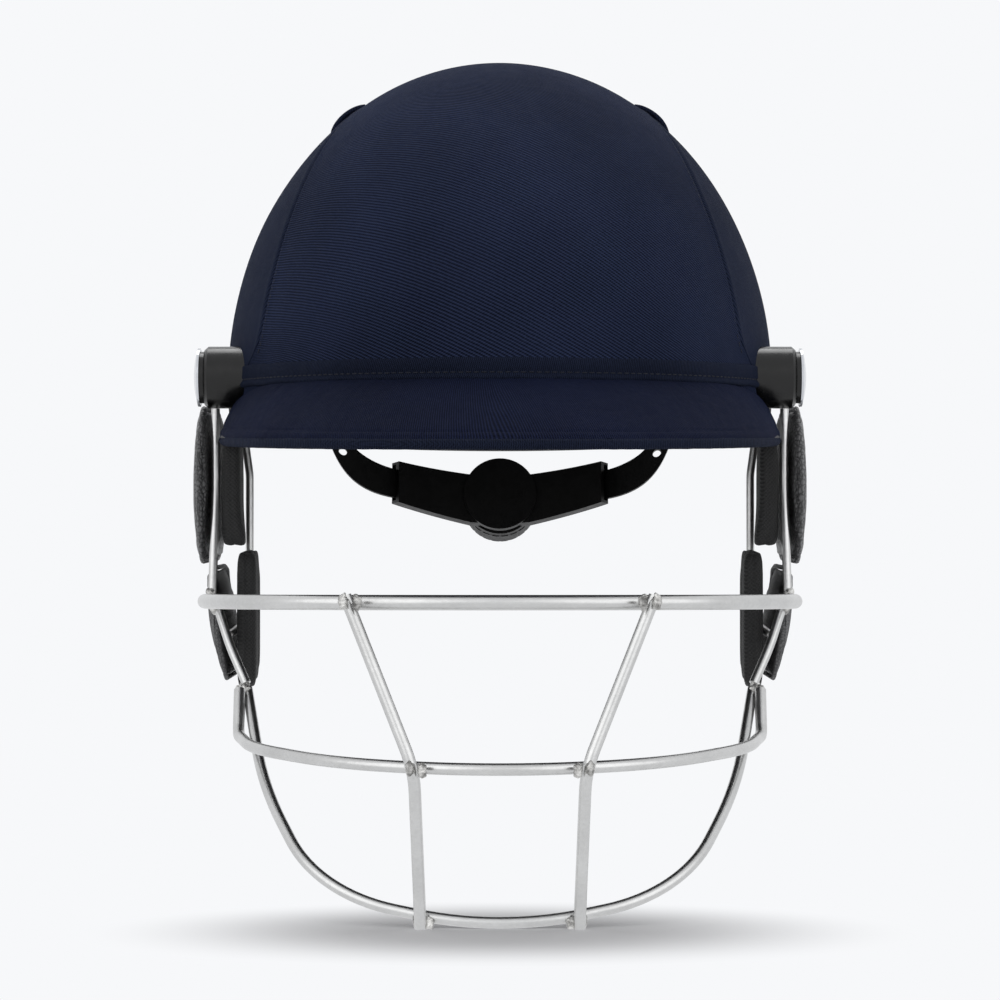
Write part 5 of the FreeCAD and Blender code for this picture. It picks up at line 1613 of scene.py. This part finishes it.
@dataclass
class Studio:
    """Floor, backdrop, lamps and camera."""

    backdrop: Colour = (247, 248, 250)
    floor_albedo: float = 0.82
    floor_radius: float = 1.2
    fade_span: tuple = (0.4, 0.9)
    painted_shadow_albedo: float = 0.68
    shade_blue: float = 1.02
    shade_centre: tuple = (0.0, -0.165)
    shade_reach: tuple = (0.135, 0.085)
    shade_span: tuple = (0.25, 1.05)
    camera_distance: float = 1.3
    camera_height: float = -0.016
    sensor_width: float = 36.0
    focal_pixels: float = 3377.0
    image_pixels: float = 1000.0
    world_strength: float = 0.62

    def build_camera(self) -> None:
        """Place the camera as the picture was taken."""
        data = bpy.data.cameras.new("picture_camera")
        data.sensor_width = self.sensor_width
        data.lens = self.sensor_width * self.focal_pixels / self.image_pixels
        data.clip_start = 0.05
        data.clip_end = 20.0
        camera = Bench.place_new("picture_camera", data)
        camera.location = (0.0, -self.camera_distance, self.camera_height)
        camera.rotation_euler = (math.radians(90.0), 0.0, 0.0)
        bpy.context.scene.camera = camera

    def build_world(self) -> None:
        """Light evenly from all round, and show the pale backdrop behind the object."""
        world = bpy.data.worlds.new("pale studio")
        bpy.context.scene.world = world
        world.use_nodes = True
        w = Wiring(world.node_tree)
        paths = w.add("ShaderNodeLightPath").outputs
        through = w.math("MAXIMUM", paths["Is Glossy Ray"], paths["Is Transmission Ray"])
        seen = w.math("MAXIMUM", paths["Is Camera Ray"], through)
        pale = w.add("ShaderNodeBackground", {"Color": linear(self.backdrop), "Strength": 1.0})
        soft = w.add("ShaderNodeBackground", {"Color": (1.0, 1.0, 1.0, 1.0), "Strength": self.world_strength})
        mixed = w.add("ShaderNodeMixShader", {0: seen, 1: soft.outputs[0], 2: pale.outputs[0]})
        w.end(mixed, "ShaderNodeOutputWorld")

    def wire_floor(self, w: Wiring) -> None:
        """Show the shadow under the object, darkened further by a painted shadow albedo that only the camera
        sees, and the even backdrop outside it and in reflections.
        """
        flat = w.vector("MULTIPLY", w.place(), (1.0, 1.0, 0.0))
        reach = w.vector("LENGTH", flat, output="Value")
        behind = w.add("ShaderNodeNewGeometry").outputs["Backfacing"]
        fade = w.math("MAXIMUM", w.spread(reach, *self.fade_span), behind)
        paths = w.add("ShaderNodeLightPath").outputs
        # Camera rays see the darker painted shadow albedo near the object, which deepens the real shadow
        # there.
        albedo, shade = self.floor_albedo, self.painted_shadow_albedo
        pale, painted_shadow_colour = (albedo, albedo, albedo, 1.0), (shade, shade, shade * self.shade_blue, 1.0)
        away = w.vector("SUBTRACT", flat, (*self.shade_centre, 0.0))
        scaled = w.vector("DIVIDE", away, (*self.shade_reach, 1.0))
        outside = w.spread(w.vector("LENGTH", scaled, output="Value"), *self.shade_span)
        eased = w.times(w.times(outside, outside), w.math("SUBTRACT", 3.0, w.times(outside, 2.0)))
        shown = w.math("MAXIMUM", w.times(paths["Is Camera Ray"], eased), paths["Is Glossy Ray"])
        matt = w.add("ShaderNodeBsdfDiffuse", {"Color": w.blend(paths["Is Camera Ray"], pale, painted_shadow_colour)})
        even = w.add("ShaderNodeEmission", {"Color": linear(self.backdrop)})
        lit = w.add("ShaderNodeMixShader", {0: shown, 1: matt.outputs[0], 2: even.outputs[0]})
        clear = w.add("ShaderNodeBsdfTransparent")
        w.end(w.add("ShaderNodeMixShader", {0: fade, 1: lit.outputs[0], 2: clear.outputs[0]}))

    def build_floor(self) -> None:
        """Lay a round pale floor that fades into the backdrop."""
        Bench.clear()
        place = (0, 0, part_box("chin_bar")[0].z)
        bpy.ops.mesh.primitive_circle_add(
            vertices=96, radius=self.floor_radius, fill_type="NGON", location=place
        )
        floor = bpy.context.object
        floor.name = "pale_floor"
        bpy.ops.object.transform_apply(location=True, rotation=True, scale=True)
        made = bpy.data.materials.new("pale floor")
        made.use_nodes = True
        self.wire_floor(Wiring(made.node_tree))
        floor.data.materials.append(made)

    def lamp(self, name: str, strength: float, spread: float, azimuth: float, height: float) -> None:
        """Add a broad far lamp.

        Args:
            name: The lamp's name.
            strength: Its strength.
            spread: Its apparent width in degrees.
            azimuth: Where it stands, 0 behind the camera and positive to the right.
            height: Its height in degrees.
        """
        data = bpy.data.lights.new(name, "SUN")
        data.energy = strength
        data.angle = math.radians(spread)
        turn, rise = math.radians(azimuth), math.radians(height)
        source = Vector((math.sin(turn) * math.cos(rise), -math.cos(turn) * math.cos(rise), math.sin(rise)))
        Bench.place_new(name, data).rotation_euler = source.to_track_quat("Z", "Y").to_euler()

    def build(self) -> None:
        """Make the studio."""
        scene = bpy.context.scene
        scene.view_settings.view_transform = "Standard"
        self.build_camera()
        self.build_world()
        self.build_floor()
        self.lamp("front_left_lamp", 0.55, 60.0, -42.0, 22.0)
        self.lamp("front_right_lamp", 0.5, 60.0, 42.0, 20.0)
        self.lamp("top_rear_lamp", 0.7, 30.0, 180.0, 62.0)


def main() -> None:
    """Build the studio and every sub-assembly in order."""
    logging.basicConfig(level=logging.INFO, format="%(name)s: %(message)s")
    Studio().build()
    Cover().build()
    Peak().build()
    SidePadding().build()
    Lining().build()
    FaceGuard().build()
    Hardware().build()


if __name__ == "__main__":
    main()
